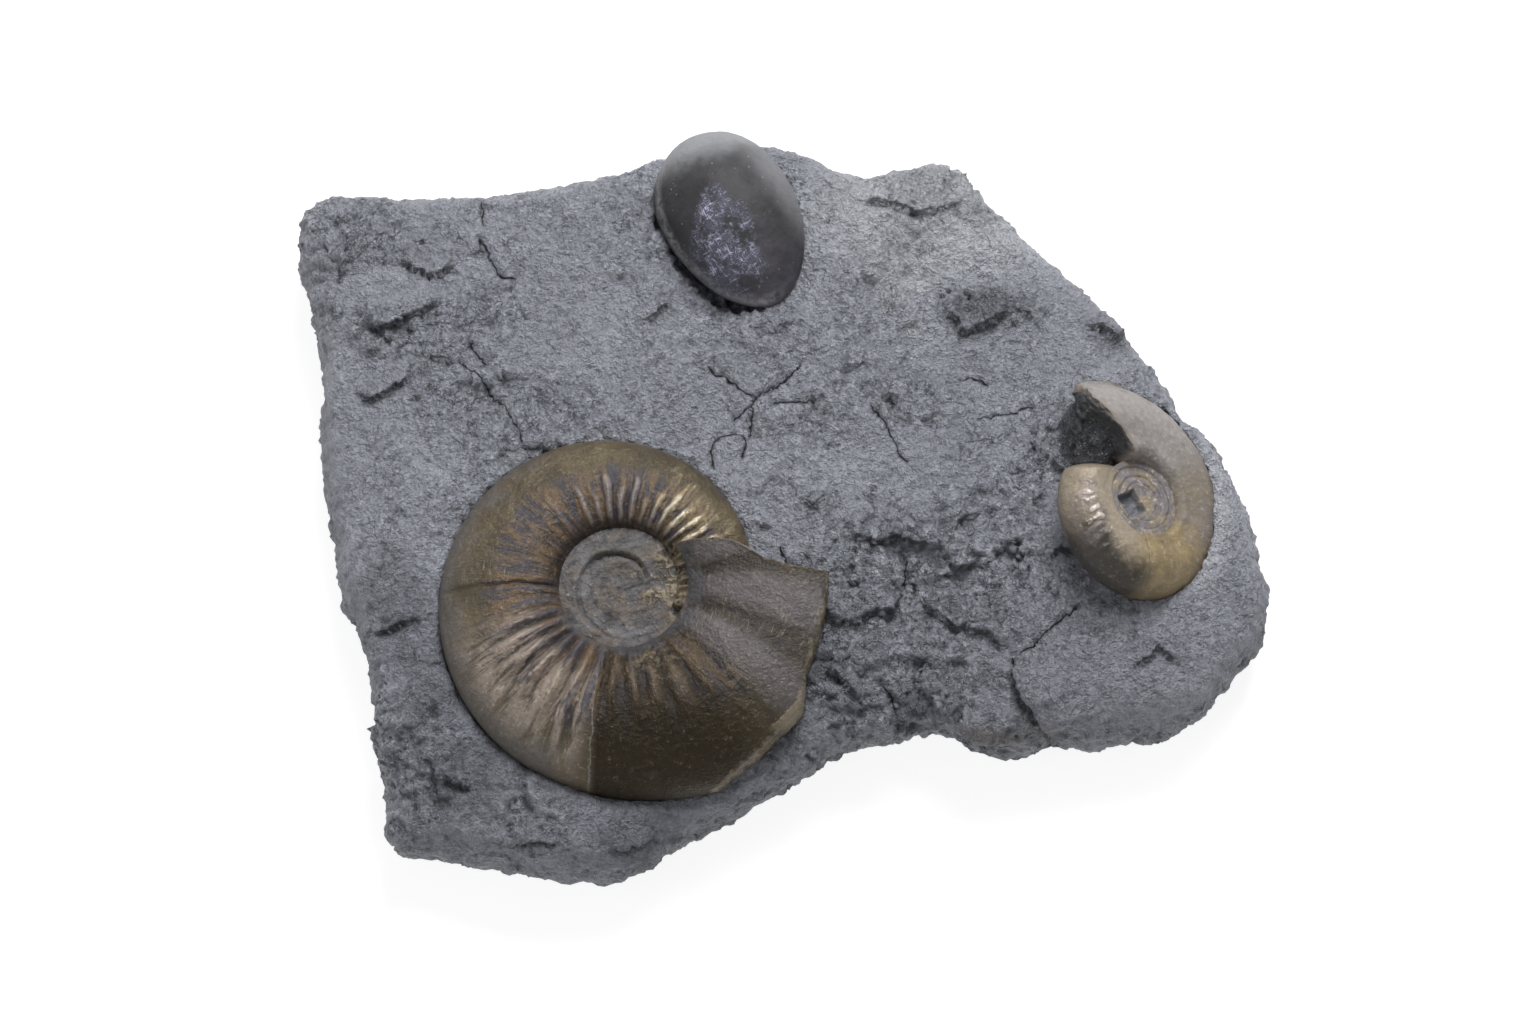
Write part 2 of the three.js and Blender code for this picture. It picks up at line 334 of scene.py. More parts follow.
# %% Table and light
def lamp(name, place, size, power):
    """A square soft lamp at a place in metres, aimed at the slab."""
    bpy.ops.object.light_add(type="AREA", location=place)
    made = bpy.context.object
    made.name = name
    made.data.size = size
    made.data.energy = power
    made.rotation_euler = (Vector(place) - LOOK_AT).to_track_quat("Z", "Y").to_euler()


def set_inputs(node, **values):
    """Sets a shader's own sockets, named with _ for a space."""
    for name, value in values.items():
        node.inputs[name.replace("_", " ")].default_value = value


lamp("key_lamp", place=(0.08, 0.31, 0.42), size=0.26, power=2.75)
lamp("fill_lamp", place=(-0.5, -0.25, 0.5), size=0.6, power=0.7)

bpy.context.scene.view_settings.view_transform = "Standard"

WHITE = (1, 1, 1, 1)
world = bpy.data.worlds.new("pale_room")
bpy.context.scene.world = world
world.use_nodes = True
set_inputs(world.node_tree.nodes["Background"], Color=WHITE, Strength=0.34)

bpy.ops.mesh.primitive_plane_add(size=6)
table = bpy.context.object
table.name = "table"
paint = bpy.data.materials.new("white_table")
paint.use_nodes = True
set_inputs(
    paint.node_tree.nodes["Principled BSDF"],
    Base_Color=(0.3, 0.3, 0.3, 1),
    Roughness=0.9,
    Emission_Color=WHITE,
    Emission_Strength=0.85,
)
table.data.materials.append(paint)

# %% [markdown]
# ## The coiled shells
# An ammonite grows as a tube that winds round an axis and widens by the same share each turn.
# So one section is drawn by extruding a point, and the loop is then extruded a few degrees at
# a time, turned about the axis and made a little larger. That is the shell's own way of
# growing. A subdivision makes it smooth.

# %% Sections and growth of the two shells
# Upper and lower side of a section, as shares of its reach outwards and of its half width
FLANK = [
    (0, 0.42), (0.05, 0.57), (0.12, 0.74), (0.23, 0.89), (0.36, 0.98),
    (0.53, 0.97), (0.7, 0.85), (0.85, 0.62), (0.95, 0.35), (1, 0),
]
UNDERSIDE = [(0.9, -0.55), (0.45, -1), (0.03, -0.6)]

# "growth" is how much wider a coil gets each turn, "outer" and "half_width" are its reach and
# its tube's half width at turn 0, and "umbilicus" is the radius of the hollow in its middle at
# "last_turn", from where the hollow widens by "slowing" of the growth only. The whorl starts at
# "start" and ends at "mouth", and its broken end is bent to shape from "chamber" on.
LARGE = {
    "growth": 1.92,
    "outer": 15.95,
    "umbilicus": 6.8,
    "slowing": 0.15,
    "half_width": 4.4,
    "last_turn": 28,
    "start": -20,
    "chamber": 280,
    "mouth": 405,
}
SMALL = {
    "growth": 1.75,
    "outer": 7.5,
    "umbilicus": 4.2,
    "slowing": 0.3,
    "half_width": 2.8,
    "last_turn": 150,
    "shoulder": [(0, 0.66), (0.04, 0.8), (0.11, 0.92)],
    "start": 100,
    "chamber": 420,
    "mouth": 505,
}
GROWTH_STEP = 5
SMOOTHING = 3
CLOSING = (0.8, 0.7, 0.6, 0.5)
print("whorls of", LARGE["mouth"] - LARGE["start"], "and", SMALL["mouth"] - SMALL["start"], "degrees")

# %% Growing a coil by extruding its section
def draw_line(points):
    """Line through points in metres, drawn by extruding one point, selected in edit mode."""
    bpy.ops.object.select_all(action="DESELECT")
    bpy.ops.mesh.primitive_plane_add(size=MM, location=points[0])
    bpy.ops.object.transform_apply(location=True)
    bpy.ops.object.mode_set(mode="EDIT")
    bpy.ops.mesh.merge(type="CENTER")
    for before, after in zip(points, points[1:]):
        bpy.ops.mesh.extrude_region_move(TRANSFORM_OT_translate={"value": after - before})
    bpy.ops.mesh.select_all(action="SELECT")
    return bpy.context.object


def whorls(name, shell):
    """The stretch of a shell from its start to its mouth, about the Z axis, closed at both ends."""
    start, end = shell["start"], shell["mouth"]
    inner = shell["umbilicus"] * shell["growth"] ** (-shell["last_turn"] / 360)
    flank = shell.get("shoulder", FLANK[:3]) + FLANK[3:]
    loop = [
        Vector((inner + (shell["outer"] - inner) * out, 0, shell["half_width"] * up)) * MM
        for out, up in flank + UNDERSIDE
    ]
    count = len(loop)
    piece = draw_line(loop)
    piece.name = name
    bpy.ops.mesh.edge_face_add()
    bpy.ops.mesh.delete(type="ONLY_FACE")
    bpy.ops.mesh.select_all(action="SELECT")
    grow(start, shell)
    steps = round((end - start) / GROWTH_STEP)
    for _ in range(steps):
        bpy.ops.mesh.extrude_region_move()
        grow((end - start) / steps, shell)
    middle = sum(loop, Vector()) / count
    close_loop(turned(middle, end, shell))
    bpy.ops.object.mode_set(mode="OBJECT")
    select_points(piece, range(count))
    close_loop(turned(middle, start, shell))
    bpy.ops.mesh.select_all(action="SELECT")
    bpy.ops.mesh.normals_make_consistent(inside=False)
    bpy.ops.object.mode_set(mode="OBJECT")
    mark(piece, count, start, end, steps)
    apply_modifier(piece, "SUBSURF", levels=SMOOTHING, render_levels=SMOOTHING)
    return piece


def grow(turn, shell):
    """Turns the selected loop about the axis and widens it by its share of growth."""
    size = shell["growth"] ** (turn / 360)
    # Without a window this operator turns clockwise, so the angle is negative
    bpy.ops.transform.rotate(
        value=-math.radians(turn), orient_axis="Z", center_override=(0, 0, 0)
    )
    bpy.ops.transform.resize(value=(size, size, size), center_override=(0, 0, 0))


def turned(point, turn, shell):
    """Where growth takes a point of the first section by a turn."""
    size = shell["growth"] ** (turn / 360)
    return Matrix.Rotation(math.radians(turn), 3, "Z") @ point * size


def close_loop(middle):
    """Fills the selected loop with ever smaller loops and a point, with a sharp edge."""
    bpy.ops.transform.edge_crease(value=1)
    for scale in CLOSING:
        bpy.ops.mesh.extrude_region_move()
        bpy.ops.transform.resize(value=(scale, scale, scale), center_override=middle)
    bpy.ops.mesh.merge(type="CENTER")


# %% Closing the start, and what is stored on the points
def select_points(piece, wanted):
    """Selects points by their numbers, and leaves the piece in edit mode."""
    bpy.ops.object.mode_set(mode="EDIT")
    bpy.ops.mesh.select_all(action="DESELECT")
    bpy.ops.mesh.select_mode(type="VERT")
    bpy.ops.object.mode_set(mode="OBJECT")
    for number in wanted:
        piece.data.vertices[number].select = True
    bpy.ops.object.mode_set(mode="EDIT")


def mark(piece, count, start, end, steps):
    """Stores on each point the turn it has grown to, and whether it closes an end."""
    tube = count * (steps + 1)
    # The smallest of the closing loops is merged to a point
    cap_points = count * (len(CLOSING) - 1) + 1
    turns, caps = [], []
    for number in range(len(piece.data.vertices)):
        if number < tube:
            turns.append(start + (end - start) * (number // count) / steps)
            caps.append(0.0)
        else:
            turns.append(end if number < tube + cap_points else start)
            caps.append(1.0)
    for name, values in (("turn", turns), ("cap", caps)):
        piece.data.attributes.new(name, "FLOAT", "POINT").data.foreach_set("value", values)


# %% [markdown]
# ## Ribs, breaks and wear of the shells
# The coil is still a plain horn. One recipe of nodes gives each shell the rest, from the turn
# that each point has grown to: the umbilicus, the hollow in the middle, that hardly widens on
# the last whorl, the ribs, which differ from sector to sector, the broken mouth and the wear.

# %% Recipe for a coil
def whorl_recipe(shell):
    """Recipe that reshapes a coil as its shell's table of sizes says."""

    def recipe(web, geometry):
        x, y, z = web.split(web.place())
        radius = (x * x + y * y) ** 0.5
        turn = web.kept("turn")
        size = shell["growth"] ** (turn / 360)
        turns = (turn - shell["last_turn"]) / 360
        inner = shell["umbilicus"] * shell["growth"] ** turns
        out = web.ramp((radius - inner) / (shell["outer"] * size - inner), 0, 1, kind="LINEAR")
        late = web.most(turns, 0)
        even = shell["growth"] ** late
        slow = shell["growth"] ** (late * shell["slowing"])
        radius = radius - (1 - out) * (even - slow) * shell["umbilicus"]

        jag = web.noise(web.place(), 1.6, 3, 0.7) - 0.5
        share = web.ramp(turn, shell["chamber"], shell["mouth"], kind="LINEAR")
        ends = web.table(radius, shell["mouth_line"]) + jag * (share ** 6) * shell["mouth_jag"]
        ends = ends - web.ramp(z / size, 0.6, 0.2) * shell["cut_below"]
        turn = turn - share * (shell["mouth"] - ends)
        rim = web.table(turn, shell["rim_line"]) + jag * 1.1
        wall = web.ramp(rim - radius, 0.35, 0)
        left = web.ramp((ends - turn) * radius * math.radians(1), 1.3, 0)
        left = left * web.ramp(share, 0.2, 0.5)
        edge = web.most(web.ramp(rim - radius, 1.4, 0), left)
        radius = web.least(radius, rim)

        angle = turn * math.radians(1)
        upper = web.ramp(z / size, 0.2, 1.2)
        cap = web.kept("cap")
        flat = web.join(x, y, z)
        height, rib = shell["relief"](web, turn, out, flat)
        height = height * upper * (1 - cap)
        dents = web.uneven(flat, 4.5, 0.5) + web.uneven(flat, 1.3, 0.22, 3, 0.6)
        z = z + height + dents * upper * (1 - cap)
        broken = web.uneven(flat, 2.2, 1.3, 4, 0.7)
        angle = angle + cap * broken / web.most(radius, 3)
        place = web.join(radius * web.sine(angle + math.pi / 2), radius * web.sine(angle), z)

        # Stored before the points move, because every formula reads their places
        wall = web.most(wall, cap)
        geometry = web.keep(geometry, grown=turn, out=out, rib=rib * upper, wall=wall, edge=edge)
        return web.put(geometry, place)

    return recipe


# %% Ribs and grooves
def rib_wave(web, turn, out, count, strength, reach, crest=1.3):
    """Ribs across the flank: how many up to each turn, how high, and how far out they go."""
    phase = web.table(turn, count) + out * 0.35
    number = web.floor(phase)
    wave = (0.5 - web.sine((phase - number) * math.tau + math.pi / 2) * 0.5) ** crest
    luck = web.node("ShaderNodeTexWhiteNoise", {"noise_dimensions": "1D"}, {"W": number})
    end = web.table(turn, reach) + (luck - 0.5) * 0.26
    fade = web.between(out, 0.01, 0.1, end - 0.25, end)
    return wave * fade * web.table(turn, strength) * (luck * 0.9 + 0.5)


def groove(web, distance, width):
    """1 at a line and 0 beyond half a width from it, for a distance that may be negative."""
    return web.ramp(abs(distance), width / 2, 0)


# %% [markdown]
# ## The large shell
# Its ribs are narrow and deep at the lower left, bright and short at the upper right, faint at
# the left, and broad near the mouth. A dark crack crosses the left side and a seam with a
# small step runs down from the umbilicus. These differ from turn to turn, so tables of turns
# hold them, read anticlockwise from the right: how many ribs, how high and how long.

# %% The large shell's relief
LARGE_CRACK = 182
LARGE_SEAM = 257
LARGE_VEIN = 302
LARGE_RIBS = [(-20, 0), (45, 9), (120, 18), (200, 27), (262, 34), (304, 38), (318, 39), (418, 43)]
LARGE_STRENGTH = [
    (-25, 0), (-5, 0.6), (45, 0.75), (100, 0.6), (125, 0.3), (190, 0.2), (202, 1.2),
    (255, 1.35), (264, 0.45), (300, 0.4), (316, 0.7), (400, 0.7),
]
LARGE_REACH = [
    (0, 0.66), (60, 0.6), (100, 0.5), (190, 0.42), (205, 0.78), (255, 0.86), (266, 0.5),
    (300, 0.62), (325, 1.1),
]
# Low numbers make broad rounded crests, high ones narrow crests
LARGE_CRESTS = [(150, 1.3), (200, 0.65), (258, 0.65), (266, 1.2), (320, 0.6)]


def large_relief(web, turn, out, place):
    crest = web.table(turn, LARGE_CRESTS)
    bent = turn + web.uneven(place, 4, 6)
    rib = rib_wave(web, bent, out, LARGE_RIBS, LARGE_STRENGTH, LARGE_REACH, crest)
    wander = web.uneven(place, 5, 7, 3, 0.6)
    crack = groove(web, turn - LARGE_CRACK + wander, 3.2) * web.between(out, 0.02, 0.12, 0.85, 1)
    seam = turn - LARGE_SEAM - out * 5 + wander * 0.25
    step = web.between(seam, -22, -4, -0.4, 0.6)
    vein = groove(web, turn - LARGE_VEIN - out * 6 + wander * 0.3, 1.0)
    vein = vein * web.between(out, 0.02, 0.1, 0.5, 0.62)
    height = rib * 0.85 - crack * 0.4 + step * 0.22 - groove(web, seam, 1.4) * 0.15 + vein * 0.12
    return height, rib


# "mouth_line" is where the whorl ends, as a turn for each radius, "mouth_jag" how ragged that
# is and "cut_below" how much sooner its lower side ends, both in degrees. "rim_line" is the
# broken outer edge, as a radius for each turn, and "relief" shapes the ribs.
LARGE["mouth_line"] = [
    (7.1, 400), (10.8, 386), (13.1, 380), (15.1, 373), (17.2, 366), (20.2, 363), (24.8, 361),
    (30, 360),
]
LARGE["mouth_jag"] = 3.0
LARGE["cut_below"] = 0
LARGE["rim_line"] = [
    (284, 32), (287, 28), (300, 26.6), (313, 26.1), (325, 26.6), (333, 24.6), (346, 24.5),
    (364, 24.8), (380, 25),
]
LARGE["relief"] = large_relief
print("the large shell has about", LARGE_RIBS[-1][1], "ribs")

# %% [markdown]
# ## The inner whorls
# The older whorls are worn down to a low spiral inside the umbilicus. A disc is easier to shape
# than many thin turns: a recipe lifts its face along a spiral, and cuts the small shell's pit.

# %% The worn inner whorls
# In the tables of the discs, "level" is the height and "seam_at" a radius where the spiral
# seam crosses the Y axis. Each whorl is as high as "relief", and "wall" is the share of it that
# its steep inner side takes. "pit" and "ridge" say how much of those there is, and
# "worn_within" is the radius inside which the spiral is worn away.
LARGE["core"] = {
    "radius": 7.9, "level": 1.95, "rise_to_right": 0.0, "seam_at": 3.85, "growth": 2.6,
    "relief": 1.1, "wall": 0.14, "pit": 0, "ridge": 0.3, "worn_within": 2.6,
}
SMALL["core"] = {
    "radius": 5.2, "level": 2.9, "rise_to_right": 0.1, "seam_at": 3.0, "growth": 1.38,
    "relief": 0.3, "wall": 0.3, "pit": 1, "ridge": 0, "worn_within": 1.8,
}
# The pit is a kite round PIT_AT, with its corners PIT_HALF away
PIT_AT = (-1.45, -0.7)
PIT_HALF = 2.1
PIT_DEPTH = 1.1
CORE_THICKNESS = 2.2


def inner_whorls(name, core):
    """Disc with the worn spiral of the inner whorls on its face, and perhaps a pit."""
    radius = core["radius"]
    bpy.ops.object.select_all(action="DESELECT")
    bpy.ops.mesh.primitive_uv_sphere_add(segments=128, ring_count=96, radius=radius * MM)
    piece = bpy.context.object
    piece.name = name

    def recipe(web, geometry):
        x, y, z = web.split(web.place())
        flat = web.join(x, y, 0)
        far = web.most((x * x + y * y) ** 0.5, 0.3)
        wobble = web.uneven(flat, 2.5, 0.16)
        turns = web.logarithm(far / core["seam_at"], core["growth"])
        across = web.fraction(turns - web.bearing(x, y) + 0.25 + wobble)
        clear = web.ramp(far + wobble * 4, core["worn_within"] * 0.8, core["worn_within"] * 1.2)
        seam = web.most(web.ramp(across, core["wall"] * 0.6, 0.01), web.ramp(across, 0.93, 1))
        seam = seam * clear
        strong = core["relief"] * web.ramp(x - y * 0.8, 3.4, 0.6, 0.25, 1) * (clear * 0.8 + 0.2)
        round_top = web.ramp(across, 0, core["wall"]) * (1 - across * 0.7) * strong
        lumps = web.uneven(flat, 2.2, 0.7, 3, 0.6) + web.uneven(flat, 0.7, 0.3, 3, 0.6)
        ridge = groove(web, y - x * 0.33 + 0.2, 0.7) * web.between(x, -0.6, 0.4, 4, 5)
        from_x, from_y = x - PIT_AT[0], y - PIT_AT[1]
        kite = abs(from_x - from_y * 0.24) / PIT_HALF + abs(from_x * 0.33 + from_y) / PIT_HALF
        pit = web.least(web.ramp(kite + wobble * 0.8, 1.08, 0.86) * core["pit"], 1)
        face = core["level"] + x * core["rise_to_right"] + round_top + lumps + ridge * core["ridge"]
        deep = core["level"] - PIT_DEPTH + lumps + x * 0.12
        face = web.blend(pit, face, deep)
        level = web.blend(web.ramp(z, 0.02, 0.25), core["level"] - CORE_THICKNESS, face)
        geometry = web.put(geometry, web.join(x, y, level))
        return web.keep(geometry, core=1.0, pit=pit, seam=seam)

    carve(piece, name, recipe)
    return piece


# %% Putting a piece in its place
def settle(piece, at, turning=Matrix.Identity(4)):
    """Puts a piece at its place in mm, turned by a matrix, and leaves it unturned there."""
    piece.matrix_world = Matrix.Translation(Vector(at) * MM) @ turning
    only(piece)
    bpy.ops.object.transform_apply(location=True, rotation=True, scale=True)


def tipped(tilt, towards):
    """Matrix that tips a piece down by an angle towards a direction."""
    down = math.radians(towards)
    hinge = Vector((-math.sin(down), math.cos(down), 0))
    return Matrix.Rotation(math.radians(tilt), 4, hinge)


def triangles(piece):
    return sum(len(face.vertices) - 2 for face in piece.data.polygons)


# %% Make the large shell
def coil(name, shell):
    """The last whorl of a shell and the worn inner whorls in its middle, in one piece."""
    body = whorls(name, shell)
    carve(body, name + "_relief", whorl_recipe(shell))
    only(body, inner_whorls(name + "_middle", shell["core"]))
    bpy.ops.object.join()
    bpy.ops.object.shade_smooth()
    return body


LARGE_AT = (-19.0, -11.6, 14.3)
large = coil("large_shell", LARGE)
settle(large, LARGE_AT)
print("large shell:", triangles(large), "triangles")

# %% [markdown]
# ## The small shell
# It is smooth but for a few short bright ribs on the outside of its left flank, and has an
# angular pit in its middle. It is tipped down to the right, so that edge sinks into the shale,
# and the start of its whorl dips under the mud that fills the broken mouth, which is painted
# dark as the shade in the mouth.

# %% The small shell
SMALL_SEAM = 264
SMALL_STEP = 338
SMALL_RIBS = [(100, 0), (505, 50)]
SMALL_STRENGTH = [(165, 0), (184, 0.9), (212, 1.1), (240, 0.5), (262, 0.1)]
SMALL_REACH = [(100, 1.1), (505, 1.1)]


def small_relief(web, turn, out, place):
    bent = turn + web.uneven(place, 2.4, 10)
    rib = rib_wave(web, bent, out, SMALL_RIBS, SMALL_STRENGTH, SMALL_REACH)
    rib = rib * web.ramp(out, 0.5, 0.68) * web.ramp(web.noise(place, 1.6), 0.35, 0.6)
    seam = groove(web, turn - SMALL_SEAM - out * 8, 2.2) * web.ramp(out, 0.05, 0.2)
    after = turn - SMALL_STEP
    step = web.ramp(after + out * 10, -8, 8) * web.ramp(after, 60, 10) * 0.12
    return rib * 0.3 - seam * 0.1 + step, rib


SMALL["mouth_line"] = [
    (3.9, 472), (4.7, 475), (7.1, 479), (9.4, 484), (12.4, 486), (15.2, 483), (16.5, 475),
    (17.4, 466), (20, 455),
]
SMALL["mouth_jag"] = 9.0
SMALL["cut_below"] = 26
# Its rim isn't broken, so the line lies far outside
SMALL["rim_line"] = [(100, 40), (600, 41)]
SMALL["relief"] = small_relief

# %% Make the small shell
SMALL_AT = (41.5, -1.9, 16.4)
small = coil("small_shell", SMALL)
settle(small, SMALL_AT, tipped(38, towards=14))


def sunk_recipe(web, geometry):
    """Lets the start of the whorl dip under the mud that fills the mouth above it."""
    place = web.place()
    early = web.ramp(web.kept("grown"), 210, 190) * (1 - web.kept("core"))
    down = web.ramp(web.split(place)[1], 1.4, 4.0) * early * -4.5
    return web.put(geometry, web.vector("ADD", place, web.join(0, 0, down)))


carve(small, "small_shell_sunk", sunk_recipe)
print("small shell:", triangles(small), "triangles")

# %% [markdown]
# ## The smooth shell
# This one lies on its side with its mouth buried, so its last whorl shows as a dark egg. A
# sphere is drawn out along its axis by a recipe, with a blunt keel round its lower left edge.
# Pale dust lies on its top and its upper right, and the recipe stores where.

# %% The smooth shell
EGG_AT = (-5.7, 34.6, 14.0)
EGG_HALF = (8.25, 11.8, 8.8)
EGG_TAPER = 0.12
EGG_TURN = 27


def egg_recipe(web, geometry):
    # The sphere's radius is 1 m, so these run from -1 to 1
    x, y, z = web.split(web.stretch(web.place(), MM))
    swelling = y * EGG_TAPER + 1
    # The keel runs round the lower left, with the wall drawn in below it
    left = web.ramp(x * -0.9 - y * 0.45, 0.1, 0.5)
    keel = groove(web, z - 0.24, 0.26) * left
    undercut = web.ramp(z, 0.2, -0.05) * left
    inward = 1 + keel * 0.05 - undercut * 0.2
    upper = z * EGG_HALF[2] * (swelling ** 0.5)
    lower = z * EGG_HALF[2] * 0.55
    height = web.blend(web.ramp(z, -0.01, 0.01), lower, upper)
    place = web.join(x * swelling * inward * EGG_HALF[0], y * inward * EGG_HALF[1], height)
    crest = web.between(z, 0.24, 0.31, 0.37, 0.44) * left
    blotch = web.uneven(place, 3, 0.3, 3, 0.6)
    dust_on_top = web.ramp(y + x * 0.15 + blotch, 0.45, 0.78)
    dust_at_right = web.ramp(x + y * 0.4 + blotch, 0.4, 0.95) * 0.65
    geometry = web.keep(geometry, keel=crest, dust=web.most(dust_on_top, dust_at_right))
    return web.put(geometry, place)


def dents_recipe(web, geometry):
    place = web.place()
    chips = web.ramp(web.noise(place, 1.4, 3, 0.6), 0.62, 0.7)
    dents = web.uneven(place, 6, 0.6) + web.uneven(place, 0.9, 0.1)
    return web.push(geometry, dents - chips * 0.08)


bpy.ops.object.select_all(action="DESELECT")
lying = (math.pi / 2, 0, 0)
bpy.ops.mesh.primitive_uv_sphere_add(segments=64, ring_count=40, radius=1, rotation=lying)
egg = bpy.context.object
egg.name = "smooth_shell"
bpy.ops.object.transform_apply(rotation=True)
apply_modifier(egg, "SUBSURF", levels=1, render_levels=1)
carve(egg, "egg_shape", egg_recipe)
carve(egg, "egg_dents", dents_recipe)
settle(egg, EGG_AT, Matrix.Rotation(math.radians(EGG_TURN), 4, "Z"))
bpy.ops.object.shade_smooth()
print("smooth shell:", triangles(egg), "triangles")

# %% [markdown]
# ## The slab
# Shale splits along its beds, so the face is a stack of thin broken flakes with small steps
# between them, crumbly where it is weathered. The CAD slab gives the body. A copy of it is
# cut into small even faces, and recipes of nodes add steps, grain and cracks. The longest
# cracks and the edges of the largest flakes are drawn as lines first, and stay helpers: the
# recipes measure how far each point of the face is from them.

# %% Cracks and broken flakes drawn by extruding a point
# Each crack is a line through places x, y on the slab's face
CRACKS = [
    [(-37.5, 19.5), (-36.4, 18.1), (-35.4, 16.8)],
    [(-38.6, 17.0), (-37.3, 15.8), (-35.4, 14.3), (-34.7, 12.4), (-33.1, 11.7), (-31.5, 8.5)],
    [(-31.5, 8.5), (-30.9, 6.5)],
    [(-36.3, 32.5), (-35.5, 31.1), (-34.6, 29.2), (-33.5, 27.7), (-32.3, 27.6)],
    [(-36.1, 37.4), (-36.0, 34.2)],
    [(-5.5, 9.4), (-2.9, 12.2), (-0.3, 14.0), (1.5, 15.2), (2.4, 16.5)],
    [(-8.6, 16.3), (-6.4, 14.6), (-4.6, 13.2), (-2.9, 12.2)],
    [(-3.2, 10.8), (-3.4, 8.6), (-3.8, 7.1), (-5.5, 7.8), (-7.8, 7.3), (-8.3, 6.0), (-8.3, 3.8)],
    [(-4.1, 7.1), (-4.6, 4.8)],
    [(-0.9, 11.7), (1.5, 11.9), (4.0, 11.9)],
    [(11.0, 11.3), (12.5, 9.7), (13.5, 7.6), (14.4, 5.4), (15.4, 4.5)],
    [(21.7, 14.9), (23.6, 14.9), (25.1, 14.1)],
    [(23.6, 9.7), (26.6, 10.2), (30.6, 11.3)],
    [(35.6, -13.8), (32.6, -16.1), (30.2, -18.4), (28.4, -19.6)],
    [(27.8, -19.8), (27.8, -22.3), (29.0, -25.1), (31.4, -27.8), (33.2, -29.3)],
    [(12.3, -23.1), (13.9, -26.0), (14.9, -28.5)],
    [(0.0, -6.0), (0.7, -8.5), (2.4, -9.4)],
    [(14.8, -10.7), (15.0, -7.9)],
]
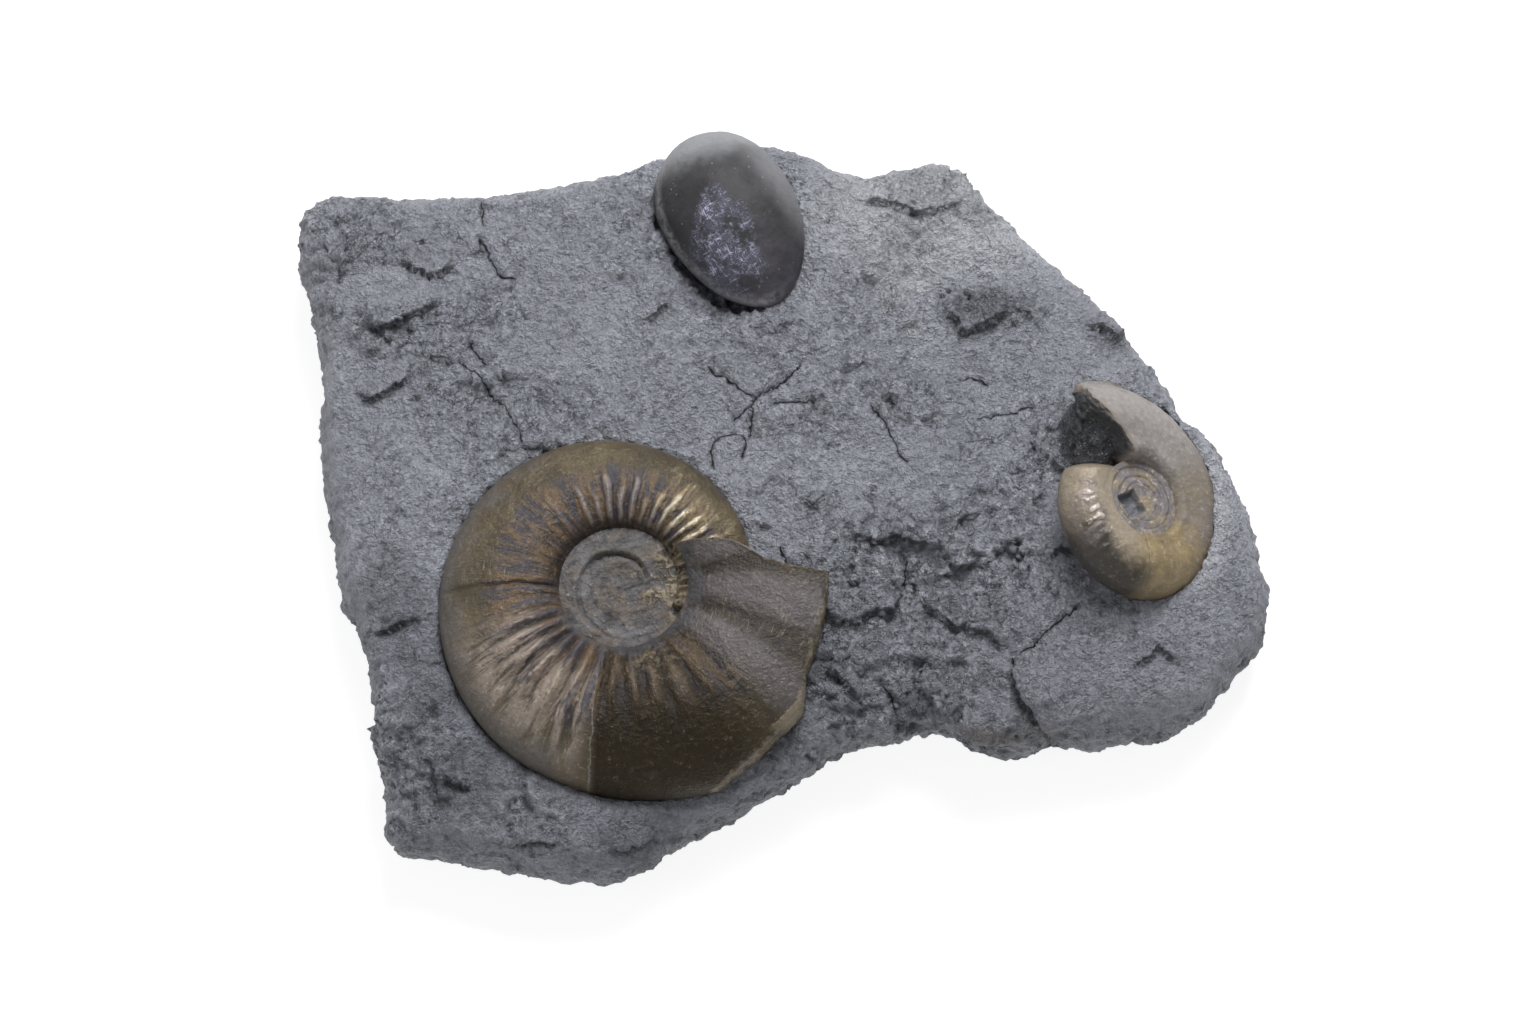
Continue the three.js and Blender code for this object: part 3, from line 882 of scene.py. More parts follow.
# Drop in mm, how far and which way its flake reaches back from the break, and the break's line
FLAKES = [
    (1.1, (-2, 5), [(-50.2, 20.8), (-48.7, 21.4), (-45.6, 22.2), (-43.5, 23.3), (-40.4, 25.0)]),
    (1.0, (-1, 4), [(-46.8, 29.9), (-44.1, 28.7), (-41.9, 27.5), (-40.4, 28.4), (-38.6, 28.7)]),
    (0.9, (1, 4), [(-51.4, 13.3), (-49.3, 12.5), (-47.8, 13.3), (-45.6, 14.6), (-44.1, 15.5)]),
    (1.2, (1, 5), [
        (8.3, -4.6), (11.0, -5.1), (11.9, -5.5), (14.4, -5.1), (17.1, -6.0), (20.2, -6.2),
    ]),
    (1.3, (-4, 5), [(5.6, -15.1), (7.3, -15.7), (9.9, -14.7), (13.5, -13.8), (14.7, -10.7)]),
    (1.0, (2, 4), [(17.3, -11.6), (17.9, -13.6), (21.5, -16.1), (25.1, -17.1), (27.8, -19.4)]),
    (1.0, (0, 5), [(-49.2, -16.3), (-46.0, -15.9), (-41.8, -14.5)]),
    (0.9, (4, -1), [(18.9, 21.7), (19.6, 24.4), (20.9, 25.7), (22.4, 25.1)]),
    (1.3, (1, 4), [(21.0, -29.0), (21.5, -28.0), (23.5, -28.1), (25.4, -28.9), (27.8, -30.0)]),
    (0.9, (1, 4), [(-40.7, -32.7), (-38.6, -35.3), (-35.8, -35.3)]),
    (0.9, (2, 4), [(2.1, 0.2), (4.0, -0.9), (4.7, -1.7)]),
    (0.9, (3, 3), [(4.4, -20.6), (6.8, -21.9), (8.3, -23.1), (9.5, -24.8)]),
    (0.7, (-1, 3), [(-38.6, 30.1), (-36.4, 30.9), (-35.8, 31.5)]),
    (0.6, (-1, 3), [(-45.0, 31.9), (-43.3, 32.4), (-41.9, 32.6)]),
    (0.7, (-4, 2), [(-54.5, 25.7), (-52.7, 28.8), (-51.1, 31.1)]),
    (0.6, (-2, 3), [(-50.5, 17.3), (-49.3, 18.2), (-47.2, 19.0)]),
    (0.7, (0, 4), [(-43.5, 16.8), (-41.9, 17.6), (-40.4, 17.4), (-38.6, 16.8)]),
    (0.9, (-3, 3), [(-17.8, 21.6), (-15.0, 22.8), (-12.9, 25.4)]),
    (0.7, (-3, 1), [(15.6, -3.8), (16.5, -2.7), (16.8, -0.6)]),
    (0.7, (-2, 4), [(20.4, -5.4), (21.0, -3.2), (22.3, -2.5), (25.1, -1.9)]),
    (0.6, (0, 3), [(-3.7, -2.5), (-2.2, -3.8), (-0.6, -3.5)]),
    (0.8, (4, 1), [(25.1, -11.6), (25.4, -13.2), (27.0, -15.1)]),
    (0.6, (0, 5), [(40.6, -22.3), (43.4, -20.2), (45.0, -18.6), (46.9, -19.8), (48.5, -20.6)]),
    (0.7, (2, 4), [(15.1, -19.0), (17.5, -20.2), (19.9, -21.9)]),
    (0.6, (4, 2), [(-48.4, -4.6), (-46.3, -6.8)]),
    (0.8, (0, 5), [
        (9.6, 37.1), (11.5, 36.9), (14.4, 36.7), (16.5, 35.7), (19.2, 36.1), (23.1, 37.7),
    ]),
    (1.1, (-1, 5), [
        (18.8, 22.9), (21.0, 22.7), (22.4, 20.7), (24.0, 21.6), (26.5, 22.7), (28.3, 23.4),
    ]),
    (0.8, (3, 3), [(27.2, 24.4), (30.2, 23.1), (30.8, 21.4)]),
    (1.0, (1, 4), [(36.6, 22.2), (38.5, 21.7), (40.4, 20.1), (41.3, 19.3)]),
    (0.6, (-1, 3), [(7.0, 17.0), (8.6, 16.2), (12.0, 17.5)]),
    (0.7, (0, 4), [(31.2, -7.9), (33.6, -6.4), (37.2, -6.9)]),
    (0.6, (-4, 0), [(32.4, 2.1), (30.7, -0.4), (31.2, -3.5)]),
    (0.7, (0, 4), [(-33.6, -42.7), (-30.0, -41.7), (-24.6, -42.4)]),
    (0.8, (-2, 4), [(-21.6, -43.3), (-16.8, -42.4), (-14.4, -40.2)]),
    (1.2, (5, 3), [(28.2, -19.4), (27.8, -22.3), (29.0, -25.1), (31.4, -27.8), (33.2, -29.3)]),
]
# Flakes are drawn this many times lower than their drop, so they stay near z = 0
TALL = 10

# %% Draw the cracks and flakes
def drawn(line, height=0):
    """Line through places in mm, selected in edit mode, its inner points at a height in mm."""
    levels = [0] + [height] * (len(line) - 2) + [0]
    return draw_line([Vector((*spot, level)) * MM for spot, level in zip(line, levels)])


def joined(name, pieces):
    only(*pieces)
    bpy.ops.object.join()
    pieces[0].name = name
    return pieces[0]


def crack_lines(lines):
    made = []
    for line in lines:
        made.append(drawn(line))
        bpy.ops.object.mode_set(mode="OBJECT")
    return joined("crack_lines", made)


def flake_strips(flakes):
    """Slanting strips, at full height along the break and at z = 0 where they reach back to."""
    made = []
    for drop, (back_x, back_y), line in flakes:
        made.append(drawn(line, drop / TALL))
        reach = Vector((back_x, back_y, 0)) * MM
        bpy.ops.mesh.extrude_region_move(TRANSFORM_OT_translate={"value": reach})
        bpy.ops.transform.resize(value=(1, 1, 0), center_override=(0, 0, 0))
        bpy.ops.object.mode_set(mode="OBJECT")
    return joined("flake_strips", made)


cracks = crack_lines(CRACKS)
flakes = flake_strips(FLAKES)
print("cracks:", len(CRACKS), "flakes:", len(FLAKES))

# %% Copy of the CAD slab in small even faces
VOXEL = 0.43
UNDERSIDE_BELOW = 7
EDGE_ROUNDING = 45
PLUG_AT = (37.9, 7.4, 15.3)
PLUG_HALF = (4.9, 4.9, 5.4)

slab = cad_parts["shale_slab"].copy()
slab.data = slab.data.copy()
slab.name = "shale"
slab.parent = None
bpy.context.scene.collection.objects.link(slab)
only(slab)
bpy.ops.object.mode_set(mode="EDIT")
bpy.ops.mesh.select_all(action="SELECT")
bpy.ops.mesh.remove_doubles(threshold=1e-6)
bpy.ops.object.mode_set(mode="OBJECT")

# Mud that still stands in front of the small shell's mouth
bpy.ops.mesh.primitive_ico_sphere_add(subdivisions=4, radius=MM, location=Vector(PLUG_AT) * MM)
plug = bpy.context.object
bpy.ops.transform.resize(value=PLUG_HALF)
bpy.ops.object.transform_apply(location=True, scale=True)
only(slab, plug)
bpy.ops.object.join()
apply_modifier(slab, "REMESH", mode="VOXEL", voxel_size=VOXEL * MM)
apply_modifier(slab, "SMOOTH", factor=0.5, iterations=6)
# The flat underside needs fewer faces than the rest
below = [v.index for v in slab.data.vertices if v.co.z < UNDERSIDE_BELOW * MM]
slab.vertex_groups.new(name="underside").add(below, 1, "REPLACE")
apply_modifier(slab, "DECIMATE", ratio=0.66, vertex_group="underside", vertex_group_factor=10)
slab.vertex_groups.clear()
print("slab:", triangles(slab), "triangles")

# %% Round the slab's outer edges
def target_of_shells(web):
    """All three shells as one geometry, to measure distances from."""
    shells = web.tree.nodes.new("GeometryNodeJoinGeometry")
    for shell in (large, small, egg):
        web.tree.links.new(web.mesh_of(shell).socket, shells.inputs[0])
    return Sock(web, shells.outputs[0])


def rounding_recipe(web, geometry):
    """Wears the slab's outer edges round, but leaves the seats of the shells as they are."""
    place = web.place()
    free = web.ramp(web.nearest(target_of_shells(web), place), 1.5, 4)
    return web.put(geometry, web.blurred(place, EDGE_ROUNDING, free))


carve(slab, "rounding", rounding_recipe)

# %% [markdown]
# ## Relief of the shale
# Several kinds of relief are laid over each other: broad waves, flakes that lean each their own
# way, thin beds that end in small steps, and crumbs. A mask of rough and smooth places, read
# from the photograph and softened with noise, says how strong they are. The cracks are grooves
# along the drawn lines, and each drawn flake rises to its broken edge. Both are pulled about by
# noise, so that they run ragged.

# %% Rough and smooth places, and patterns of flakes
# Each place is x, y and how far it reaches in x and y
ROUGH_PLACES = [
    (18, -10, 14, 9), (-45, 21, 7, 3), (-33, 11, 11, 5), (-46, -33, 8, 10), (38, 6, 8, 8),
    (17, 12, 5, 3), (26, 24, 6, 2.5), (-3, 27, 5, 5), (8, -18, 7, 8), (15, -24, 9, 5),
    (-50, 33, 6, 4), (-34, 24, 5, 3),
]
SMOOTH_PLACES = [
    (53, -8, 7, 12), (-25, 22, 8, 6), (42, -24, 12, 6), (-52, 0, 4, 18), (-48, 26.5, 6, 3),
    (-49, 15, 5, 3),
]
PLUG_PLACE = (37.6, 7.6, 5.6, 5.6)


def spots(web, x, y, places):
    """1 at places given as x, y and two reaches in mm, fading outwards."""
    total = 0
    for at_x, at_y, reach_x, reach_y in places:
        far = ((x - at_x) / reach_x) ** 2 + ((y - at_y) / reach_y) ** 2
        total = web.ramp(far, 1.6, 0.2) + total
    return web.least(total, 1)


def plates(web, plan, size, warp):
    """Broken flakes side by side, each with its own height and slope, between about -1 and 1."""
    bent = web.pulled(plan, size * 0.5, warp * size)
    node = web.cells(bent, size).socket.node
    high, slope_x, slope_y = web.split(Sock(web, node.outputs["Color"]))
    away = web.vector("SUBTRACT", bent, Sock(web, node.outputs["Position"]))
    x, y, _ = web.split(web.stretch(away, 1 / size))
    return (high - 0.5) * 1.1 + (slope_x - 0.5) * x * 2.2 + (slope_y - 0.5) * y * 2.2


def steps_down(web, plan, spacing, bend):
    """Thin beds that rise slowly towards the front edge and end in a broken step, 0 to 1."""
    y = web.split(plan)[1]
    level = web.noise(plan, bend, 4, 0.6) * bend * 0.8 - y / spacing
    rise = web.fraction(level)
    return rise * web.ramp(rise, 1.0, 0.86)


# %% The slab's relief
def shale_recipe(web, geometry):
    place = web.place()
    x, y, z = web.split(place)
    top = web.ramp(web.split(web.normal())[2], 0.0, 0.5)
    plan = web.join(x, y, z * 0.5)
    rough = spots(web, x, y, ROUGH_PLACES) - spots(web, x, y, SMOOTH_PLACES) * 0.8
    rough = rough * 0.8 + web.ramp(web.noise(plan, 13), 0.42, 0.6) * 0.55
    rough = web.most(web.ramp(rough, 0, 1.1, 0.08, 1), (1 - top) * 0.6)

    # Each layer has its size in mm, and a height that grows with the roughness
    waves = web.uneven(plan, 11, 1.6) + web.uneven(plan, 4.2, rough * 0.9 + 0.7, 2, 0.55)
    broad = plates(web, plan, 6.5, 0.7) * (rough * 0.8 + 0.12)
    narrow = plates(web, plan, 2.6, 0.8) * (rough * 0.5 + 0.06)
    beds = steps_down(web, plan, 5, 9) * (rough * 0.5 + 0.1)
    thin = steps_down(web, plan, 1.9, 3.5) * (rough * 0.35 + 0.06)
    crumbs = web.uneven(place, 1.3, rough * 0.6 + 0.25, 3, 0.6)
    teeth = web.uneven(place, 3, 1 - top, 5, 0.7) * 2.5
    relief = (waves + broad + narrow + beds + thin + crumbs) * (top * 0.4 + 0.6) + teeth

    # Distance to the drawn cracks
    flat = web.join(x, y, 0)
    pull = web.vector("MULTIPLY", web.scatter(flat, 1.5), (1.7, 1.7, 0))
    jags = web.vector("MULTIPLY", web.scatter(flat, 0.7), (0.8, 0.8, 0))
    ragged = web.vector("ADD", web.vector("ADD", flat, pull), jags)
    lines = web.mesh_of(cracks)
    near = web.nearest(lines, ragged, "EDGES")
    off = web.vector("SUBTRACT", ragged, web.nearest(lines, ragged, "EDGES", "Position"))
    off_x, off_y, _ = web.split(off)

    # Height of the drawn flakes, looked for from above, so that the higher of two counts
    from_above = web.vector("ADD", ragged, (0, 0, 1))
    on_x, on_y, lift = web.split(web.nearest(web.mesh_of(flakes), from_above, out="Position"))
    rag_x, rag_y, _ = web.split(ragged)
    ledge_x, ledge_y = rag_x - on_x, rag_y - on_y
    beside = (ledge_x ** 2 + ledge_y ** 2) ** 0.5
    flake = lift * TALL * web.ramp(beside, 0.3, 0.02)
    broken = web.ramp(lift * TALL, 0.15, 0.5)
    under = web.ramp(beside, 0.9, 0.25) * broken * web.ramp(beside, 0.02, 0.25)

    # The mud in the small shell's mouth is smoother, and a moat runs below the smooth shell
    plug = spots(web, x, y, [PLUG_PLACE]) * web.ramp(z, 16, 17.5)
    moat = web.ramp(web.nearest(web.mesh_of(egg), place), 2.4, 0.3)
    moat = moat * web.ramp(x * 0.9 + y * 0.45, 6.5, 1.5)
    relief = relief * (1 - plug * 0.7)
    relief = relief + (flake * 1.3 - web.ramp(near, 0.45, 0.05) * 0.6 - under * 0.25) * top
    relief = relief - moat * 0.34
    geometry = web.keep(geometry, rough=rough, top=top, plug=plug, broken=broken)
    geometry = web.keep(geometry, crack_x=off_x, crack_y=off_y, ledge_x=ledge_x, ledge_y=ledge_y)
    return web.push(geometry, relief)


carve(slab, "shale_relief", shale_recipe)
print("slab: relief on", len(slab.data.vertices), "points")

# %% [markdown]
# ## Mud against the shells
# The mud set hard round the shells, so no gap shows between them and the rock. Points of the
# slab that come close to a shell are drawn onto it. The underside is kept flat, and how deep
# each point lies in a hollow is stored, because the finish makes raised places paler, where
# dust lies, and hollows darker with painted shade.

# %% Close the slab onto the shells
CLOSE = 0.35
FAR = 1.0
HOLLOW_SPAN = 5


def seat_recipe(web, geometry):
    target = target_of_shells(web)
    place = web.place()
    near = web.nearest(target, place)
    touch = web.nearest(target, place, out="Position")
    pull = web.ramp(near, FAR, CLOSE)
    moved = web.vector("ADD", place, web.stretch(web.vector("SUBTRACT", touch, place), pull))
    # What would dip under the table is the flat underside that the slab stands on
    x, y, z = web.split(moved)
    return web.put(geometry, web.join(x, y, web.most(z, 0)))


carve(slab, "seat", seat_recipe)
print("slab: closed onto the shells within", FAR, "mm")

# %% Measure the hollows
def hollow_recipe(web, geometry):
    """Stores how deep each point lies in a hollow, against the blurred surface."""
    place = web.place()
    soft = web.blurred(place, HOLLOW_SPAN)
    depth = web.dot(web.vector("SUBTRACT", soft, place), web.normal())
    return web.keep(geometry, hollow=depth)


carve(slab, "hollows", hollow_recipe)
only(slab)
bpy.ops.object.shade_smooth()
bpy.data.objects.remove(cracks)
bpy.data.objects.remove(flakes)
print("slab:", triangles(slab), "triangles")

# %% [markdown]
# ## Materials
# All four finishes are made of noise in each piece's own place in mm, and of what the recipes
# stored on the points: where ribs, breaks, cracks and hollows are.

# %% A web for materials
class Finish(Web):
    """Web of a material with one Principled shader."""

    def __init__(self, name):
        material = bpy.data.materials.new(name)
        material.use_nodes = True
        super().__init__(material.node_tree)
        self.material = material
        self.shader = material.node_tree.nodes["Principled BSDF"]
        spot = self.node("ShaderNodeTexCoord", out="Object")
        self.at = self.stretch(spot, 1 / MM)

    def kept(self, name):
        return self.node("ShaderNodeAttribute", {"attribute_name": name}, out="Fac")

    def all_kept(self, *names):
        return [self.kept(name) for name in names]

    def tint(self, mask, a, b):
        """Colour a where the mask is 0, colour b where it is 1."""
        values = {0: mask, 6: rgb(a), 7: rgb(b)}
        return self.node("ShaderNodeMix", {"data_type": "RGBA"}, values, out=2)

    def layers(self, colour, *rows):
        """Lays colours over one another. Each row is a mask, how much it covers and a colour."""
        for mask, cover, paint in rows:
            colour = self.tint(mask * cover, colour, paint)
        return colour

    def shade(self, colour, factor):
        """Colour times a number."""
        values = {0: 1.0, 6: colour, 7: self.join(factor, factor, factor)}
        settings = {"data_type": "RGBA", "blend_type": "MULTIPLY"}
        return self.node("ShaderNodeMix", settings, values, out=2)

    def mottle(self, colour, grain, amount):
        """Darkens and lightens a colour with a noise, by up to an amount."""
        return self.shade(colour, self.ramp(grain, 0.3, 0.7, 1 - amount, 1 + amount, "LINEAR"))

    def feed(self, **sockets):
        for name, value in sockets.items():
            socket = self.shader.inputs[name.replace("_", " ")]
            if isinstance(value, Sock):
                self.tree.links.new(value.socket, socket)
            else:
                socket.default_value = value

    def bump(self, height):
        """Fine relief of a height in mm."""
        return self.node("ShaderNodeBump", {}, {"Height": height, "Distance": MM}, out="Normal")


def rgb(colour):
    """A link as it is, or a colour given as red, green and blue of a screen from 0 to 255."""
    if isinstance(colour, Sock):
        return colour
    linear = [((c / 255 + 0.055) / 1.055) ** 2.4 if c > 10 else c / 255 / 12.92 for c in colour]
    return (*linear, 1)


# %% [markdown]
# ## The shale's finish
# Blue-grey, paler where it is rough and dusty and on the raised places, where dust lies. The
# cracks, pits, crevices, hollows and the ground in front of the broken ledges are darkened as
# painted shade, some listed places get a painted shadow, the lower edge is darker as painted
# shade, and the mud in the small shell's mouth is painted dark as the shade there. The glitter
# is painted highlights, small white specks where the roughness is also lower. The finest relief
# is far too small for the mesh, so it is left to a bump.

# %% Shale
# Places that get a painted shadow: next to the large shell's lower left, below some broken ledges and
# at the lower edge
PAINTED_SHADE_PLACES = [
    (-42, -22, 4, 8), (-47, -13, 5, 8), (-38, -35, 5, 5), (-17, -42, 5, 3), (25, 24, 5, 2.5),
    (40, 20, 3, 2),
]
PALE_PLACES = [(19, 36, 16, 9), (50, -2, 4, 9)]
DUSTY_PLACES = [(14.5, 27.1, 4.2, 4.8), (16.2, 21.0, 1.1, 1.3)]
BROWN_PLACES = [(31.2, -30.4, 5, 2.4), (24, -29.4, 3, 1.5)]


def shale_finish():
    web = Finish("blue_grey_shale")
    at = web.at
    x, y, _ = web.split(at)
    rough, hollow, top = web.all_kept("rough", "hollow", "top")
    broad = web.noise(at, 16, 3, 0.6)
    middle = web.noise(at, 2.6, 3, 0.65)
    fine = web.noise(at, 0.8, 3, 0.7)
    grain = web.noise(at, 0.3, 2, 0.6)

    # The drawn cracks, splits between cells of two sizes, and the flakes' broken edges
    off = web.length(web.join(*web.all_kept("crack_x", "crack_y"), 0))
    line = web.ramp(off, web.noise(at, 2.2) * 0.3, 0.02) * top
    bent = web.pulled(at, 2, 2.4)
    splits = web.ramp(web.cell_edges(bent, 6), 0.16, 0.03) * web.ramp(middle, 0.5, 0.62)
    more = web.ramp(web.cell_edges(bent, 2.4), 0.1, 0.03) * rough
    splits = web.most(splits, more * web.ramp(broad + fine * 0.3, 0.62, 0.72))
    crevice = web.ramp(web.cell_edges(web.pulled(at, 0.8, 0.9), 1.3), 0.11, 0.03)
    crevice = crevice * web.ramp(fine * 0.5 + middle * 0.7, 0.6, 0.68) * (rough + 0.12)
    beside = web.length(web.join(*web.all_kept("ledge_x", "ledge_y"), 0))
    ledge = web.ramp(beside + (fine - 0.5) * 0.7 + (middle - 0.5) * 0.5, 0.42, 0.1)
    ledge = ledge * web.ramp(beside, 0, 0.1) * web.kept("broken")
    pits = web.ramp(web.noise(at, 0.42, 3, 0.7), 0.45, 0.36) * (rough * 0.8 + 0.15)
    glint = web.ramp(web.cells(at, 0.45), 0.24, 0.12) * web.ramp(web.noise(at, 0.9, 1), 0.5, 0.58)

    colour = web.tint(web.ramp(broad, 0.35, 0.65), (151, 153, 163), (164, 166, 176))
    colour = web.tint(rough * 0.75, colour, (190, 193, 204))
    # Painted shade in the small pits
    colour = web.shade(colour, 1 - pits * 0.3)
    # Painted shade: darker towards the lower edge, where the light falls off
    colour = web.shade(colour, web.ramp(y - x * 0.15, -30, -10, 0.8, 1))
    # Painted shadow at the listed places
    dark = spots(web, x, y, PAINTED_SHADE_PLACES) * web.ramp(middle, 0.3, 0.6, 0.5, 1)
    colour = web.shade(colour, 1 - dark * 0.35)
    dusty = spots(web, x, y, DUSTY_PLACES) * web.ramp(fine * 0.6 + middle * 0.7, 0.56, 0.72)
    colour = web.layers(
        colour,
        (spots(web, x, y, PALE_PLACES), 0.7, (196, 198, 204)),
        (dusty, 0.7, (198, 199, 203)),
        (spots(web, x, y, BROWN_PLACES) * top, 0.5, (120, 108, 98)),
    )
    colour = web.mottle(web.mottle(colour, fine, 0.1), grain, 0.12)
    # Paler on the raised places, where dust lies, and painted shade in the hollows
    colour = web.shade(colour, web.ramp(hollow, -0.15, 0.35, 1.22, 0.76) * (top * 0.1 + 0.9))
    # The mud in the small shell's mouth is painted dark as the shade in the mouth
    colour = web.tint(web.kept("plug") * 0.9, colour, (65, 66, 70))
    # Painted shade in the cracks, splits and crevices, and in front of the broken ledges
    open_lines = web.most(line * 0.85, splits * 0.5)
    edges = web.most(ledge * 0.7, crevice * 0.55)
    colour = web.shade(colour, 1 - web.most(open_lines, edges))
    # Painted highlights: small white specks on the colour
    colour = web.tint(glint * (rough * 0.75 + 0.15), colour, (236, 238, 240))

    chips, small_chips, crumbs = [plates(web, at, size, 0.9) for size in (1.7, 0.75, 0.42)]
    creases = web.ramp(abs(fine - 0.5), 0, 0.07) + web.ramp(abs(middle - 0.5), 0, 0.05) * 0.8
    relief = (chips * 0.8 + small_chips * 0.85 + crumbs * 0.5) * (rough * 0.9 + 0.4)
    relief = relief + middle * 0.9 + fine * 1.5 + creases * (rough * 0.22 + 0.04) + grain * 0.45
    relief = relief - line * 0.4 - pits * 0.45 - ledge * 0.5
    web.feed(
        Base_Color=colour,
        Roughness=0.62 - rough * 0.27 - glint * 0.2,
        Specular_IOR_Level=0.45,
        Normal=web.bump(relief),
    )
    return web.material


# %% [markdown]
# ## The large shell's finish
# Iron pyrite replaced the shell and tarnished to bronze. It is golden on the ribs at the upper
# right, with a painted sheen and painted white highlights there, violet brown in the grooves,
# which are also darkened as painted shade, olive brown round the rim, and dark below the seam.
# The pale dust on the upper crests is partly a painted highlight, the steep side round the
# umbilicus and the seam of the inner whorls carry painted shade, and the glints are painted
# highlights. Each of these is a mask over the turn of the coil, and is laid over the last one.

# %% Bronze skin of the large shell
TAN_PLACES = [
    (-13.4, -8.6, 1.6, 2.6), (-12.4, -12.4, 1.3, 3.6), (-15.0, -12.9, 1.6, 1.2),
    (-14.0, -21.9, 3.4, 1.8), (-0.4, -27.0, 3.4, 2.6),
]
UMBILICUS_PALE = [(-22.6, -15.8, 1.6, 1.4), (-18.8, -17.2, 3.2, 0.8), (-23.6, -10.6, 0.9, 3)]


def bronze_finish():
    web = Finish("bronze_shell")
    at = web.at
    x, y, _ = web.split(at)
    turn, out, rib, wall = web.all_kept("grown", "out", "rib", "wall")
    edge, core, seam = web.all_kept("edge", "core", "seam")
    broad = web.noise(at, 6, 3, 0.6)
    middle = web.noise(at, 2.2, 3, 0.6)
    fine = web.noise(at, 0.7, 4, 0.7)
    speck = web.noise(at, 0.28, 2, 0.6)
    # Streaks run across the flank like the ribs, scratches run round the coil
    streak = web.noise(web.join(turn * 0.25, out * 3, 0), 1.1, 4, 0.65, 0.6)
    scratch = web.noise(web.join(turn * 0.035, out * 16, 0), 0.9, 2, 0.5, 0.4)
    scratch = web.ramp(abs(scratch - 0.5), 0.022, 0) * web.ramp(middle, 0.48, 0.6)
    sway = middle - 0.5
    drift = streak - 0.5

    venter = web.ramp(out + sway * 0.3 + drift * 0.25, 0.5, 0.68)
    flank = web.tint(web.ramp(streak, 0.42, 0.58), (78, 74, 80), (122, 101, 77))
    rim = web.tint(web.ramp(broad, 0.38, 0.62), (79, 70, 53), (101, 89, 67))
    # Pale dust on the upper rib crests, partly a painted highlight
    dusty = web.between(turn, 40, 60, 110, 150) * web.ramp(rib, 0.15, 0.5)
    # Golden ribs at the upper right, with a painted sheen
    gold_and_sheen = web.between(turn, 4, 20, 55, 85) * web.between(out, 0.12, 0.3, 0.7, 0.95)
    gold_and_sheen = gold_and_sheen * web.ramp(streak * 0.9 + rib * 0.35, 0.44, 0.68)
    # Painted white highlights on the golden ribs
    bright = gold_and_sheen * web.between(turn, 12, 22, 48, 66)
    bright = bright * web.ramp(rib * 0.3 + fine * 0.8 + middle * 0.8, 0.84, 1)
    pink = web.between(turn, 192, 210, 252, 260) * web.between(out, 0.15, 0.4, 0.75, 1)
    pink = pink * web.ramp(streak, 0.38, 0.55)
    dark = web.ramp(turn - out * 5, 256, 259) * web.ramp(turn, 335, 300)
    dark = dark * web.ramp(out + drift * 1.1, 0, 0.62, 0.6, 1)
    under = web.between(turn, 258, 262, 305, 320) * web.ramp(out, 0.55, 0.35)
    under = under * web.ramp(rib + drift * 1.2, 0.1, 0.5)
    late = web.ramp(turn, 304, 326) * (1 - dark)
    late_ribs = web.ramp(rib + drift * 0.5, 0.1, 0.45) * late
    colour = web.layers(
        web.tint(venter, flank, rim),
        (dusty, 0.75, (150, 142, 140)),
        (gold_and_sheen, 0.75, (184, 166, 132)),
        (bright, 0.9, (240, 230, 206)),
        (pink, 0.85, (162, 149, 138)),
        (dark, 0.95, (43, 34, 18)),
        (under, 0.4, (114, 101, 86)),
        (late, 0.85, (66, 60, 53)),
        (late_ribs, 0.85, (102, 97, 98)),
    )
    # The grooves between the ribs are tarnished, and also darkened as painted shade
    valley = web.ramp(rib, 0.32, 0.02) * web.between(out, 0, 0.08, 0.5, 0.78)
    colour = web.shade(colour, 1 - valley * (web.between(turn, 198, 206, 256, 262) * 0.45 + 0.3))

    # The steep side round the umbilicus in painted shade, broken edges and the filling behind them
    skin = 1 - core
    steep = web.ramp(out, 0.18, 0.03) * skin * web.ramp(turn, 200, 170)
    muddy = web.ramp(turn, 190, 215) * web.ramp(out + sway * 0.3, 0.14, 0.04) * skin
    filling = web.tint(web.ramp(middle + fine * 0.5, 0.6, 0.9), (56, 50, 44), (100, 90, 75))
    colour = web.layers(
        colour,
        (steep, 0.85, (44, 39, 35)),
        (muddy, 0.7, (98, 98, 102)),
        (wall * skin, 1, filling),
    )

    # The worn inner whorls
    slant = web.noise(web.join(x * 0.5 + y * 0.2, y * 1.3 - x * 0.45, 0), 0.9, 4, 0.7, 0.5)
    worn = web.layers(
        web.tint(web.ramp(slant, 0.36, 0.6), (70, 68, 70), (100, 97, 98)),
        (spots(web, x, y, UMBILICUS_PALE), 0.6, (122, 121, 123)),
        (web.ramp(middle + fine * 0.4, 0.68, 0.82), 0.4, (112, 98, 80)),
    )
    colour = web.tint(core, colour, worn)
    # Painted shadow on the inner whorls below the seam, where the outer whorl overhangs, strongest on
    # the upper side
    above = web.ramp(y + x * 0.1, -12, -9.5)
    colour = web.shade(colour, 1 - seam * core * (above * 0.65 + 0.15))

